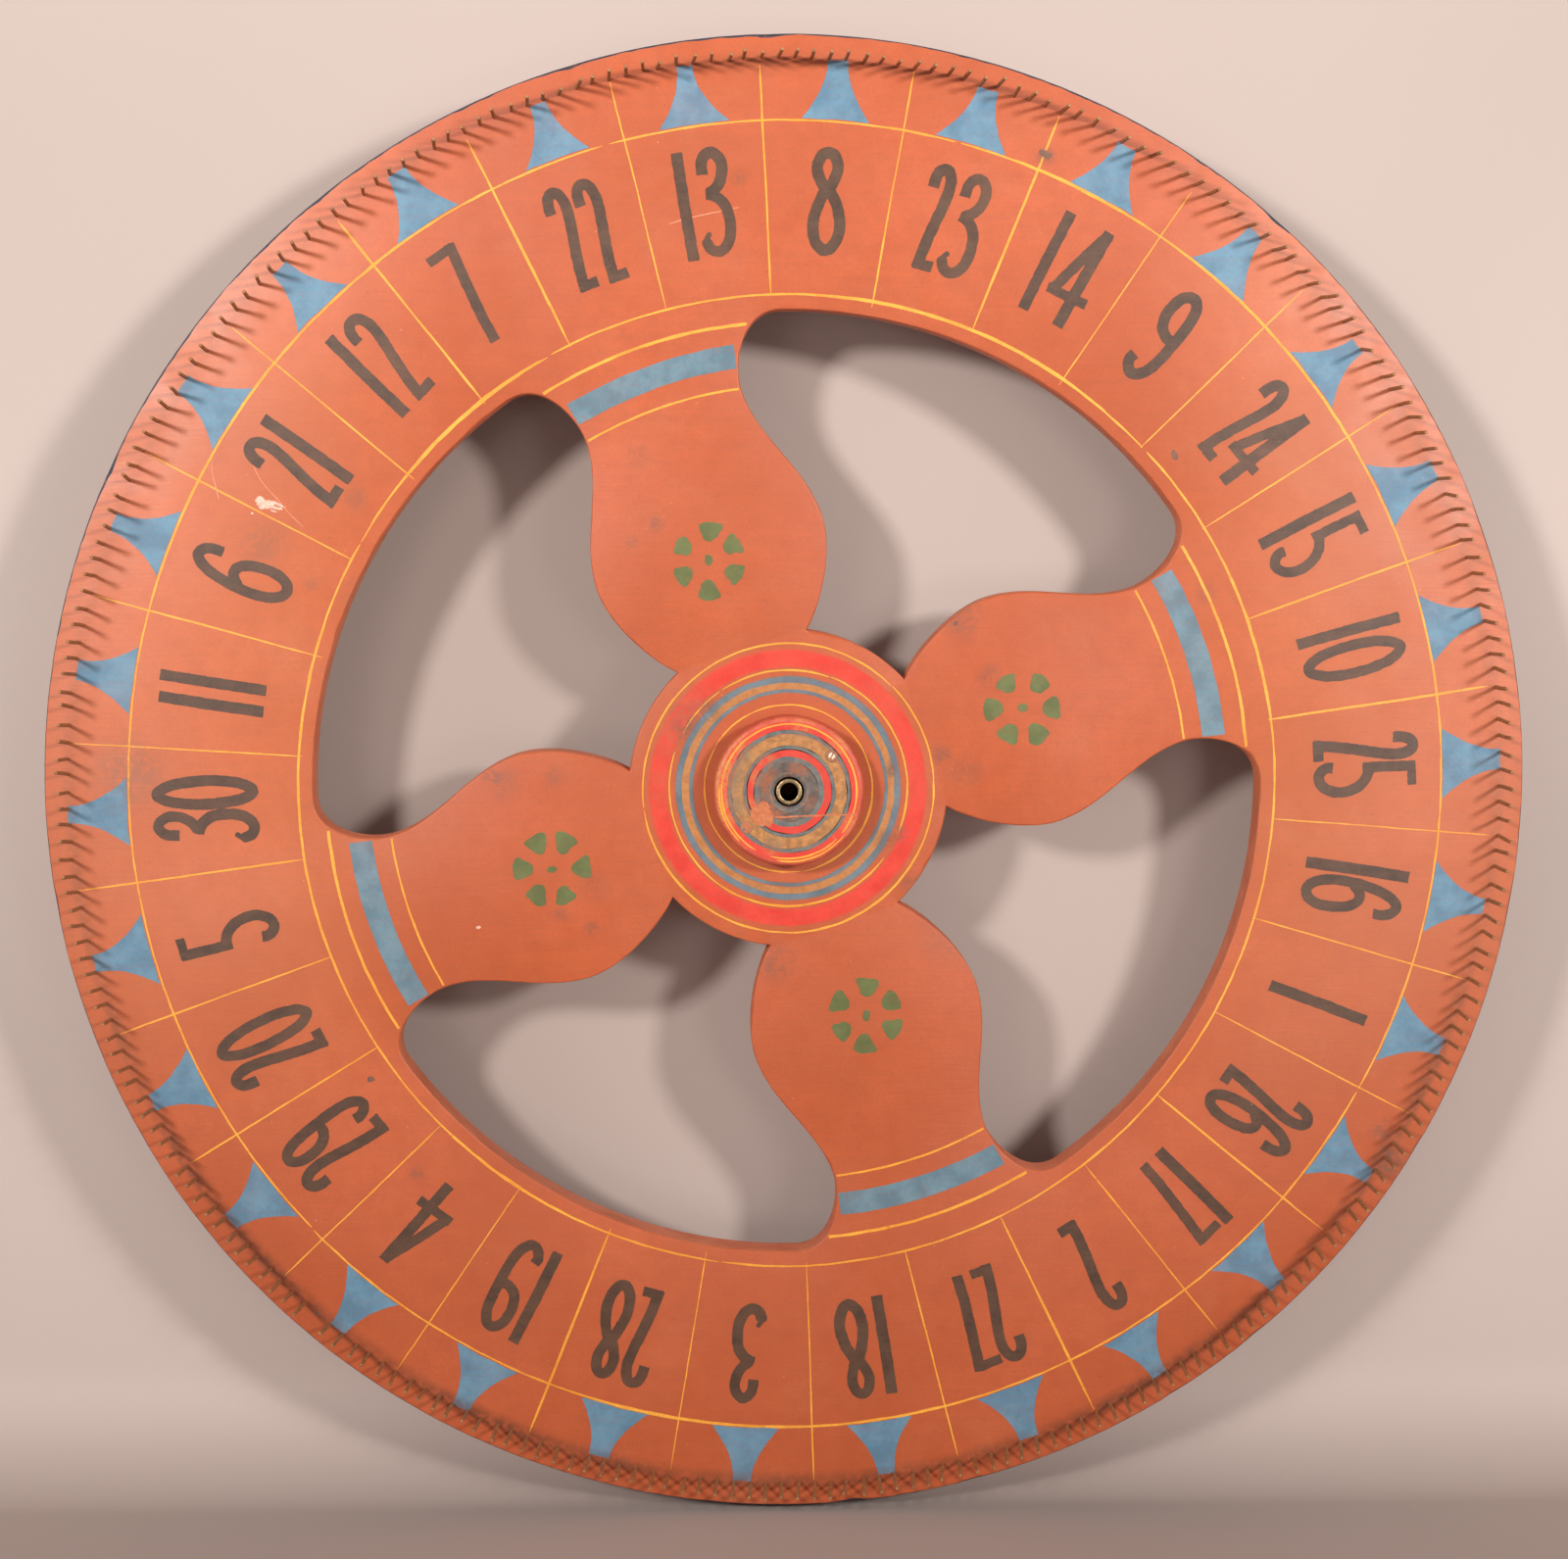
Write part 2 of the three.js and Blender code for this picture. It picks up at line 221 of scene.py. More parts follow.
def outlines(field, left, bottom, step):
    """Closed outlines of where the field is below zero, anticlockwise round what is inside."""
    inside = field < 0
    case = (inside[:-1, :-1] * 1 + inside[:-1, 1:] * 2 + inside[1:, 1:] * 4 + inside[1:, :-1] * 8)
    follow, place = {}, {}

    def crossing(j, i, side):
        ends = (((j, i), (j, i + 1)), ((j, i + 1), (j + 1, i + 1)),
                ((j + 1, i), (j + 1, i + 1)), ((j, i), (j + 1, i)))[side]
        if ends not in place:
            (j0, i0), (j1, i1) = ends
            a, b = field[j0, i0], field[j1, i1]
            t = min(max(a / (a - b), 0.02), 0.98)
            place[ends] = (left + step * (i0 + t * (i1 - i0)),
                           bottom + step * (j0 + t * (j1 - j0)))
        return ends

    for j, i in zip(*np.nonzero((case > 0) & (case < 15))):
        for enter, leave in CELL_CASES[int(case[j, i])]:
            follow[crossing(j, i, enter)] = crossing(j, i, leave)
    loops = []
    while follow:
        start = next(iter(follow))
        loop, at = [], start
        while at in follow:
            loop.append(place[at])
            at = follow.pop(at)
        if len(loop) > 5:
            loops.append(loop)
    return loops


def ripple(xs, ys, seed, size, count=9):
    """Smooth noise over arrays, about -1 to 1: a sum of plane waves about `size` long."""
    rng = random.Random(seed)
    total = np.zeros_like(xs)
    for _ in range(count):
        angle, wave = rng.uniform(0, TURN), size * rng.uniform(0.7, 1.6)
        phase = rng.uniform(0, TURN)
        total += np.sin(TURN * (xs * math.cos(angle) + ys * math.sin(angle)) / wave + phase)
    return total / (0.5 * count)


def stroke_field(xs, ys, half_width, square_start, square_end, points):
    """How far each place lies outside a brush stroke, negative inside it."""
    near = np.full_like(xs, 1e9)
    for (ax, ay), (bx, by) in zip(points, points[1:]):
        dx, dy = bx - ax, by - ay
        t = np.clip(((xs - ax) * dx + (ys - ay) * dy) / (dx * dx + dy * dy + 1e-12), 0, 1)
        near = np.minimum(near, np.hypot(xs - ax - t * dx, ys - ay - t * dy))
    field = near - half_width
    for square, end, inner in ((square_start, points[0], points[1]),
                               (square_end, points[-1], points[-2])):
        if square:
            dx, dy = end[0] - inner[0], end[1] - inner[1]
            length = math.hypot(dx, dy)
            beyond = ((xs - end[0]) * dx + (ys - end[1]) * dy) / length
            close = np.hypot(xs - end[0], ys - end[1]) < 1.7 * half_width
            field = np.where(close, np.maximum(field, beyond), field)
    return field


# ---- Making pieces ----
def piece(name, verts, faces, paints, body, slot, replaced=(), smooth=False, paint_of=None):
    """One mesh piece. paint_of gives the material index of each face."""
    mesh = bpy.data.meshes.new(name)
    mesh.from_pydata(verts, [], faces)
    for paint in paints:
        mesh.materials.append(paint)
    if paint_of is not None:
        mesh.polygons.foreach_set("material_index", paint_of)
    mesh.polygons.foreach_set("use_smooth", [smooth] * len(mesh.polygons))
    mesh.update()
    obj = bpy.data.objects.new(name, mesh)
    scene.collection.objects.link(obj)
    if smooth:
        mesh.set_sharp_from_angle(angle=math.radians(40))
    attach(obj, body)
    if replaced:
        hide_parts(*replaced)


def filled(loops):
    """Triangles on the left of closed loops, holes left open, as indices into the joined loops."""
    points = [Vector(p) for loop in loops for p in loop]
    edges, start = [], 0
    for loop in loops:
        edges += [(start + i, start + (i + 1) % len(loop)) for i in range(len(loop))]
        start += len(loop)
    verts, _, tris, origins, _, _ = delaunay_2d_cdt(points, edges, [], 0, 1e-6)
    if len(verts) != len(points):
        raise ValueError("an outline crosses itself")
    back = [origin[0] for origin in origins]
    corners, beside = [], {}
    for tri in tris:
        a, b, c = (back[i] for i in tri)
        (ax, ay), (bx, by), (cx, cy) = points[a], points[b], points[c]
        if (bx - ax) * (cy - ay) - (by - ay) * (cx - ax) < 0:
            b, c = c, b
        for side in ((a, b), (b, c), (c, a)):
            beside[side] = len(corners)
        corners.append((a, b, c))
    # From the triangles just left of each outline, spread across every side that isn't an outline.
    walls = set(edges) | {(b, a) for a, b in edges}
    found = {beside[edge] for edge in edges}
    queue = list(found)
    while queue:
        a, b, c = corners[queue.pop()]
        for side in ((b, a), (c, b), (a, c)):
            if side not in walls and side in beside and beside[side] not in found:
                found.add(beside[side])
                queue.append(beside[side])
    return [corners[i] for i in sorted(found)]


class Plates:
    """Thin closed plates of paint on the face, gathered into one piece."""

    def __init__(self):
        self.verts, self.faces = [], []

    def add(self, loops, low=PAINT_UNDER, high=PAINT_OVER):
        """A plate whose outline is the loops: the inside lies left of each."""
        start = len(self.verts)
        flat = [p for loop in loops for p in loop]
        count = len(flat)
        self.verts += [on_face(x, y, low) for x, y in flat]
        self.verts += [on_face(x, y, high) for x, y in flat]
        for a, b, c in filled(loops):
            self.faces.append((start + c, start + b, start + a))
            self.faces.append((start + count + a, start + count + b, start + count + c))
        first = start
        for loop in loops:
            n = len(loop)
            for i in range(n):
                a, b = first + i, first + (i + 1) % n
                self.faces.append((a, b, b + count, a + count))
            first += n
        return self

    def ring(self, inner, outer, seed, waver=0.25, wander=0.3, low=PAINT_UNDER, high=PAINT_OVER,
             step=0.75):
        """A ring painted by hand: its edges waver and its radius wanders a little."""
        loops = []
        for radius, side in ((outer, 1), (inner, -1)):
            loop = []
            for k in range(int(360 / step)):
                x, y = polar(radius, -k * step)
                grow = waver * rough(x, y, 9, seed + side) + wander * rough(x, y, 90, seed)
                loop.append((x * (1 + grow / radius), y * (1 + grow / radius)))
            loops.append(loop if side > 0 else loop[::-1])
        return self.add(loops, low, high)

    def band(self, inner, outer, start, end, seed, waver=0.25, wander=0.3, taper=0.0, slant=0.0,
             low=PAINT_UNDER, high=PAINT_OVER):
        """A stretch of such a ring, clockwise from start to end. taper thins both its ends."""
        middle, half = (inner + outer) / 2, (outer - inner) / 2
        count = max(6, int((end - start) * middle / 180 * math.pi / 3))
        out, back = [], []
        for k in range(count + 1):
            t = k / count
            angle = start + (end - start) * t
            x, y = polar(middle, angle)
            edge = min(1.0, min(t, 1 - t) * (end - start) * middle / 57.3 / taper) if taper else 1
            size = half * (0.35 + 0.65 * math.sqrt(edge))
            mid = middle + slant * (t - 0.5) + wander * rough(x, y, 90, seed)
            give = min(waver, 0.45 * size)
            back.append(polar(mid + size + give * rough(x, y, 9, seed + 1), angle))
            out.append(polar(mid - size + give * rough(x, y, 9, seed - 1), angle))
        self.add([out + back[::-1]], low, high)

    def line(self, points, half_widths, seed, waver=0.2, low=PAINT_UNDER, high=PAINT_OVER):
        """A brush line through the points, which are close together."""
        left, right = [], []
        for k, (x, y) in enumerate(points):
            (ax, ay), (bx, by) = points[max(k - 1, 0)], points[min(k + 1, len(points) - 1)]
            length = math.hypot(bx - ax, by - ay) or 1
            nx, ny = -(by - ay) / length, (bx - ax) / length
            a = half_widths[k] + waver * rough(x, y, 8, seed + 1)
            b = half_widths[k] + waver * rough(x, y, 8, seed + 2)
            left.append((x + nx * max(a, 0.15), y + ny * max(a, 0.15)))
            right.append((x - nx * max(b, 0.15), y - ny * max(b, 0.15)))
        self.add([right + left[::-1]], low, high)

    def blob(self, x, y, width, height, angle, seed, rag, step=0.3, low=PAINT_UNDER,
             high=PAINT_OVER):
        """A ragged patch, such as a chip or a stain."""
        reach = 0.5 * max(width, height) * (1.5 + rag) + 2
        count = int(2 * reach / step) + 1
        xs, ys = np.meshgrid(np.arange(count) * step - reach, np.arange(count) * step - reach)
        turn = math.radians(angle)
        u = (xs * math.cos(turn) + ys * math.sin(turn)) / (width / 2)
        v = (-xs * math.sin(turn) + ys * math.cos(turn)) / (height / 2)
        size = min(width, height)
        field = np.hypot(u, v) - 1 + rag * ripple(xs, ys, seed, size * 0.9) * 0.8
        field += 0.35 * rag * ripple(xs, ys, seed + 50, size * 0.3)
        field[0, :] = field[-1, :] = field[:, 0] = field[:, -1] = 1
        self.add(outlines(field, x - reach, y - reach, step), low, high)

    def piece(self, name, paint, slot):
        piece(name, self.verts, self.faces, [paint], "wheel", slot)


# ---- Materials ----
class Paint:
    """A node material, built with short calls. Sockets and numbers can be passed alike."""

    def __init__(self, name):
        self.material = bpy.data.materials.new(name)
        self.material.use_nodes = True
        self.tree = self.material.node_tree
        self.tree.nodes.clear()
        self.place = self.node("TexCoord").outputs["Object"]

    def node(self, kind, inputs=(), **settings):
        new = self.tree.nodes.new("ShaderNode" + kind)
        for key, value in settings.items():
            setattr(new, key, value)
        for key, value in dict(inputs).items():
            self.link(new.inputs[key], value)
        return new

    def link(self, socket, value):
        if isinstance(value, bpy.types.NodeSocket):
            self.tree.links.new(value, socket)
        else:
            socket.default_value = value

    def math(self, operation, a, b=0.0):
        return self.node("Math", {0: a, 1: b}, operation=operation).outputs[0]

    def times(self, a, b):
        return self.math("MULTIPLY", a, b)

    def along(self, axis):
        """The object's coordinate along X or Z, in metres."""
        return self.node("SeparateXYZ", {0: self.place}).outputs[axis]

    def stretched(self, *scales):
        """The object's coordinates, scaled along each axis."""
        return self.node("VectorMath", {0: self.place, 1: scales}, operation="MULTIPLY").outputs[0]

    def noise(self, size, detail=3.0, roughness=0.55, stretch=(1, 1, 1), distortion=0.0):
        """Noise of 0 to 1 with features about `size` millimetres across."""
        return self.node("TexNoise", {
            "Vector": self.stretched(*stretch), "Scale": 1 / (size * MM), "Detail": detail,
            "Roughness": roughness, "Distortion": distortion}).outputs[0]

    def span(self, value, low, high, start=0.0, end=1.0):
        """value mapped smoothly from low..high to start..end, and held there."""
        return self.node("MapRange", {"Value": value, "From Min": low, "From Max": high,
                                      "To Min": start, "To Max": end},
                         interpolation_type="SMOOTHSTEP").outputs[0]

    def patches(self, noise_settings, *limits):
        """Noise cut into soft-edged patches."""
        return self.span(self.noise(*noise_settings), *limits)

    def mix(self, factor, a, b):
        """a where factor is 0 and b where it is 1. Colours are sockets, or 0 to 255 on screen."""
        new = self.node("Mix", data_type="RGBA")
        for socket, value in ((0, factor), (6, a), (7, b)):
            self.link(new.inputs[socket], srgb(*value) if isinstance(value, tuple) else value)
        return new.outputs[2]

    def radius(self):
        """Distance from the axle, in millimetres."""
        return self.node("VectorMath", {0: self.stretched(1000, 0, 1000)},
                         operation="LENGTH").outputs["Value"]

    def distance(self, x, y):
        """Distance over the face from a point of it, in millimetres."""
        return self.node("VectorMath", {0: self.stretched(1000, 0, 1000), 1: (x, 0, y)},
                         operation="DISTANCE").outputs["Value"]

    def scuffed(self, x, y, reach, weight):
        """A round place on the face, full inside and gone at its reach."""
        return self.span(self.distance(x, y), 0.3 * reach, reach, weight, 0.0)

    def ragged(self, distance, *noise_settings, sway):
        """A distance whose contours wander by up to half of sway."""
        return self.math("ADD", distance,
                         self.times(self.math("SUBTRACT", self.noise(*noise_settings), 0.5), sway))

    def finish(self, colour, roughness, bump, depth, metallic=0.0, specular=0.5):
        """The paint's shader. depth is the height of its bumps in millimetres."""
        lift = self.node("Bump", {"Height": bump, "Strength": 1.0, "Distance": depth * MM})
        shader = self.node("BsdfPrincipled", {
            "Metallic": metallic, "Specular IOR Level": specular, "Base Color": colour,
            "Roughness": roughness, "Normal": lift.outputs[0]})
        self.node("OutputMaterial", {"Surface": shader.outputs[0]})
        return self.material


# Soft stains in the board's paint: place on the face, size, strength.
SMUDGES = (
    (-60, 45, 16, 0.45), (107, 105, 15, 0.5), (-177, 5, 14, 0.4), (-7, -110, 14, 0.5),
    (-405, 10, 26, 0.6), (156, 385, 7, 0.8), (110, 10, 13, 0.35), (-120, -60, 12, 0.3),
    (100, -92, 22, 0.3), (-262, 120, 16, 0.3), (-92, 205, 9, 0.3), (58, 100, 14, 0.35),
    (-264, 179, 9, 0.45), (-320, 152, 17, 0.45), (-64, 38, 11, 0.85), (-49, 49, 9, 0.8),
    (64, 12, 5, 0.8), (60, -32, 8, 0.8), (95, 21, 8, 0.7), (77, -60, 9, 0.6),
    (374, -217, 9, 0.6), (380, -238, 12, 0.9), (69, -28, 7, 0.8), (-30, 372, 6, 0.5),
    (-81, 163, 6, 0.6), (-96, 152, 5, 0.6), (-181, 7, 9, 0.7), (-144, 8, 8, 0.4),
    (-291, 127, 6, 0.4), (124, 70, 9, 0.5), (258, 119, 8, 0.4), (-10, -112, 8, 0.6),
    (-122, -87, 6, 0.6), (-141, -78, 5, 0.6), (-232, -242, 7, 0.5),
)


def worn_surface(paint, colour, strength=1.0):
    """Dust, grime and painted nail shadow round the nails, specks and handling marks, common to
    everything on the face.
    """
    radius = paint.radius()
    near_nails = paint.times(paint.span(radius, 434, 442), paint.span(radius, 448, 443.5))
    rubbed = paint.patches((120, 3, 0.6), 0.36, 0.6, 0.5, 1.0)
    # Grime in a band just inside the nails, darkened further as painted shadow of the nails.
    grime_and_nail_shade = paint.times(near_nails, paint.patches((6, 4, 0.6), 0.2, 0.6))
    grime_and_nail_shade = paint.times(grime_and_nail_shade, rubbed)
    # Painted shade: the band darkens towards the bottom of the wheel, where the nails' shadows
    # fall.
    height = paint.along("Z")
    grime_and_nail_shade = paint.times(grime_and_nail_shade, paint.span(height, 0.05, -0.3, 0.25, 0.8))
    colour = paint.mix(paint.times(grime_and_nail_shade, strength), colour, (96, 56, 38))
    stain = None
    for x, y, size, weight in SMUDGES:
        spot = paint.span(paint.distance(x, y), 0.2 * size, 1.25 * size, weight, 0.0)
        stain = paint.math("MAXIMUM", stain, spot) if stain else spot
    patchy = paint.patches((6, 5, 0.7, (1, 1, 1), 1.2), 0.38, 0.56)
    stain = paint.times(stain, patchy)
    colour = paint.mix(paint.times(stain, 0.8 * strength), colour, (104, 78, 66))
    haze = paint.patches((55, 4, 0.6), 0.5, 0.8, 0.0, 0.14 * strength)
    colour = paint.mix(haze, colour, (205, 132, 98))
    streak = paint.patches((2.4, 2, 0.5, (0.035, 1, 1)), 0.35, 0.75, 0.0, 0.12)
    colour = paint.mix(paint.times(streak, strength), colour, (150, 82, 55))
    mottle = paint.patches((1.3, 3, 0.7), 0.4, 0.62, 0.0, 0.16)
    colour = paint.mix(mottle, colour, (128, 72, 52))
    specks = paint.patches((1.9, 1, 0.4), 0.80, 0.83)
    colour = paint.mix(paint.times(specks, 0.5 * strength), colour, (230, 180, 152))
    dark = paint.patches((2.1, 1, 0.4, (1.1, 1, 0.93)), 0.215, 0.185)
    return paint.mix(paint.times(dark, 0.5 * strength), colour, (96, 60, 48))


def face_bump(paint):
    """Brush marks in the paint over the faint grain of the board."""
    brush = paint.noise(1.6, 3, 0.6, stretch=(0.06, 1, 1))
    orange_peel = paint.noise(1.1, 2, 0.5)
    return paint.math("ADD", paint.times(brush, 0.7), paint.times(orange_peel, 0.3))


def board_paint():
    paint = Paint("board_paint")
    patch = paint.patches((140, 3, 0.5), 0.35, 0.68)
    colour = paint.mix(patch, (180, 85, 46), (192, 92, 52))
    fine = paint.patches((14, 4, 0.6), 0.3, 0.75, 0, 0.5)
    colour = paint.mix(fine, colour, (172, 78, 42))
    colour = worn_surface(paint, colour)
    # Painted sheen: paler towards the left and right edges, above the lower part, where the lamps'
    # reflection falls.
    across = paint.math("ABSOLUTE", paint.along("X"))
    painted_sheen = paint.times(paint.span(across, 0.2, 0.32, 0.0, 0.085),
                        paint.span(paint.along("Z"), -0.3, -0.05))
    colour = paint.mix(painted_sheen, colour, (240, 170, 120))
    shine = paint.patches((26, 4, 0.6), 0.3, 0.7, 0.4, 0.5)
    return paint.finish(colour, shine, face_bump(paint), 0.12, specular=0.4)


SCUFFS = (3.2, 5, 0.72, (1, 1, 1), 0.8)  # the noise that breaks up a worn place


def flat_paint(name, low, high, thin, thin_amount, roughness=(0.4, 0.5), size=16, worn=(),
               feather=None):
    """Sign-painter's enamel: two tones, and the red ground showing where it is thin.

    worn lists places (x, y, reach, weight) where it is scuffed through. feather gives the middle
    and half width of a ring whose edges fade out.
    """
    paint = Paint(name)
    colour = paint.mix(paint.patches((size, 4, 0.6), 0.3, 0.7), low, high)
    bare = paint.patches((5, 5, 0.7), 0.58, 0.72, 0.0, thin_amount)
    scuffs = paint.patches(SCUFFS, 0.38, 0.52)
    for place in worn:
        bare = paint.math("MAXIMUM", bare, paint.times(paint.scuffed(*place), scuffs))
    if feather:
        middle, half = feather
        off = paint.math("ABSOLUTE", paint.math("SUBTRACT", paint.radius(), middle))
        edge = paint.span(off, 0.62 * half, 1.04 * half, 0.0, 0.8)
        soft = paint.patches((4, 4, 0.65), 0.25, 0.7, 0.5, 1.0)
        bare = paint.math("MAXIMUM", bare, paint.times(edge, soft))
    colour = worn_surface(paint, paint.mix(bare, colour, thin), 0.75)
    shine = paint.patches((12, 3, 0.6), 0.3, 0.7, *roughness)
    return paint.finish(colour, shine, face_bump(paint), 0.1, specular=0.4)


GROUND = (188, 91, 53)
YELLOW = flat_paint("paint_yellow", (226, 146, 42), (244, 174, 62), GROUND, 0.6, size=30)
BLUE = flat_paint("paint_blue", (79, 121, 145), (99, 142, 165), (128, 124, 122), 0.3)
BAND_BLUE = flat_paint("paint_band_blue", (84, 116, 130), (106, 138, 151), (128, 116, 104), 0.6)
GREEN = flat_paint("paint_green", (82, 96, 52), (102, 114, 66), GROUND, 0.3)
DARK = flat_paint("paint_dark", (64, 48, 36), (82, 62, 46), (104, 72, 54), 0.45)
BOSS_WEAR = ((-39, 10, 17, 1.0), (-38, -10, 15, 0.9), (-31, 24, 13, 0.8), (-19, 8, 9, 0.9),
             (-22, -9, 8, 0.9), (37, -20, 9, 0.7), (30, 28, 10, 0.7), (-14, 19, 8, 0.7),
             (-10, -34, 9, 0.6), (8, 40, 9, 0.6))
HUB_RED = flat_paint("hub_red", (208, 49, 36), (221, 65, 48), (192, 82, 54), 0.5,
                     worn=((-66, 40, 34, 0.9), (-78, 0, 20, 0.6), (60, 55, 22, 0.4)),
                     feather=(80.6, 5.8))
BOSS_RED = flat_paint("boss_red", (204, 49, 38), (218, 64, 50), (204, 116, 70), 0.8,
                      worn=BOSS_WEAR, feather=(40.2, 3.4))
INNER_RED = flat_paint("boss_inner_red", (200, 50, 40), (216, 64, 50), (196, 108, 68), 0.9,
                       worn=BOSS_WEAR)
OCHRE = flat_paint("paint_ochre", (170, 110, 60), (191, 128, 72), (120, 96, 74), 0.7, size=5,
                   worn=((64, 12, 7, 0.9), (-50, 48, 9, 0.9), (60, -32, 6, 0.8)),
                   feather=(63.8, 2.8))
BOSS_OCHRE = flat_paint("boss_ochre", (150, 104, 60), (196, 134, 76), (132, 112, 86), 0.8,
                        size=3.2, worn=BOSS_WEAR, feather=(31.8, 3.9))
HUB_BLUE = flat_paint("paint_hub_blue", (84, 104, 112), (105, 125, 134), (120, 98, 82), 0.6,
                      feather=(64.4, 6.0))
BOSS_BLUE = flat_paint("boss_blue", (80, 94, 94), (108, 118, 112), (150, 98, 72), 0.8, size=4,
                       worn=BOSS_WEAR)
CENTRE = flat_paint("boss_centre", (68, 68, 64), (96, 96, 90), (156, 90, 58), 0.9, size=6,
                    worn=((-14, 6, 13, 0.95), (-10, -12, 12, 0.9), (6, 15, 9, 0.7),
                          (14, -8, 8, 0.5)))
TOUCH_UP = flat_paint("touch_up", (182, 98, 58), (204, 120, 76), (150, 86, 62), 0.8,
                      (0.45, 0.6), 3)
CHIP = flat_paint("bare_primer", (214, 160, 136), (236, 196, 176), (196, 118, 88), 0.8,
                  (0.5, 0.65), 3)
SCRATCH = flat_paint("pale_scratch", (212, 128, 96), (222, 146, 114), GROUND, 0.6)
STAIN = flat_paint("dark_stain", (92, 66, 56), (122, 88, 72), GROUND, 0.5, (0.5, 0.65), 6)


def rim_paint():
    """The rim's side: worn blue-black over brown."""
    paint = Paint("rim_edge_paint")
    wear = paint.patches((10, 5, 0.65), 0.5, 0.66)
    colour = paint.mix(wear, (44, 46, 58), (92, 62, 54))
    scuff = paint.patches((3.2, 4, 0.65), 0.62, 0.72)
    colour = paint.mix(paint.times(scuff, 0.7), colour, (150, 96, 74))
    bump = paint.noise(2.2, 4, 0.6)
    return paint.finish(colour, paint.patches((6,), 0.3, 0.7, 0.45, 0.65), bump, 0.3)


def wall_paint():
    """The sawn walls of the cut-outs: thin orange-brown paint over the saw's marks."""
    paint = Paint("cutout_wall_paint")
    colour = paint.mix(paint.patches((22, 4, 0.6), 0.3, 0.7), (196, 102, 66), (212, 120, 82))
    ply = paint.patches((2.6, 3, 0.6, (0.1, 1.3, 0.1)), 0.45, 0.7)
    colour = paint.mix(paint.times(ply, 0.35), colour, (150, 84, 58))
    bump = paint.math("ADD", paint.noise(1.8, 3, 0.6, stretch=(1, 0.12, 1)), ply)
    return paint.finish(colour, 0.62, bump, 0.25)


def back_paint():
    """The back, which nobody sees: one thin coat of the same red over the grain."""
    paint = Paint("back_paint")
    grain = paint.patches((2, 4, 0.6, (0.03, 1, 1)), 0.35, 0.7)
    colour = paint.mix(paint.times(grain, 0.6), (172, 84, 58), (134, 70, 50))
    worn = paint.patches((70, 5, 0.65), 0.56, 0.68)
    colour = paint.mix(paint.times(worn, 0.6), colour, (158, 118, 84))
    return paint.finish(colour, paint.patches((15,), 0.3, 0.7, 0.6, 0.78), grain, 0.3)


# ---- The board ----
def spoke_edge(axis_angle, side, pieces=26):
    """One edge of a spoke from the hub outwards, on its clockwise side (1) or the other (-1)."""
    along, across = polar(1, axis_angle), polar(side, axis_angle + 90)

    def place(half_width, distance):
        return (along[0] * distance + across[0] * half_width,
                along[1] * distance + across[1] * half_width)

    notch = (NOTCH_HALF_WIDTH, math.sqrt(HUB_RADIUS ** 2 - NOTCH_HALF_WIDTH ** 2))
    rim = (FILLET_HALF_WIDTH, math.sqrt(CUTOUT_RADIUS ** 2 - FILLET_HALF_WIDTH ** 2))
    flare = 24 / CUTOUT_RADIUS  # the flare leaves the rim along its tangent
    curves = [
        (notch, (54, 100), (BULGE[0], BULGE[1] - 23), BULGE),
        (BULGE, (BULGE[0], BULGE[1] + 32), (WAIST[0], WAIST[1] - 30), WAIST),
        (WAIST, (WAIST[0], WAIST[1] + 18),
         (rim[0] - flare * rim[1], rim[1] + flare * rim[0]), rim),
    ]
    points = []
    for curve in curves:
        points += bezier(*(place(*corner) for corner in curve), pieces)[1 if points else 0:]
    return points


def arc(radius, start, end, pieces):
    return [polar(radius, start + (end - start) * i / pieces) for i in range(pieces + 1)]


def cutout(index):
    """The cut-out that follows one spoke. It runs clockwise, so the board is on its left."""
    before = FIRST_SPOKE_ANGLE + 360 / SPOKES * index
    after = before + 360 / SPOKES
    flare = math.degrees(math.asin(FILLET_HALF_WIDTH / CUTOUT_RADIUS))
    notch = math.degrees(math.asin(NOTCH_HALF_WIDTH / HUB_RADIUS))
    return (spoke_edge(before, 1) + arc(CUTOUT_RADIUS, before + flare, after - flare, 70)[1:-1]
            + spoke_edge(after, -1)[::-1]
            + arc(HUB_RADIUS, after - notch, before + notch, 28)[1:-1])


def inset(loop, amounts):
    """The loop moved to its left, into the board, by an amount at each point."""
    out = []
    for k, (x, y) in enumerate(loop):
        (ax, ay), (bx, by) = loop[k - 1], loop[(k + 1) % len(loop)]
        length = math.hypot(bx - ax, by - ay)
        out.append((x - (by - ay) / length * amounts[k], y + (bx - ax) / length * amounts[k]))
    return out


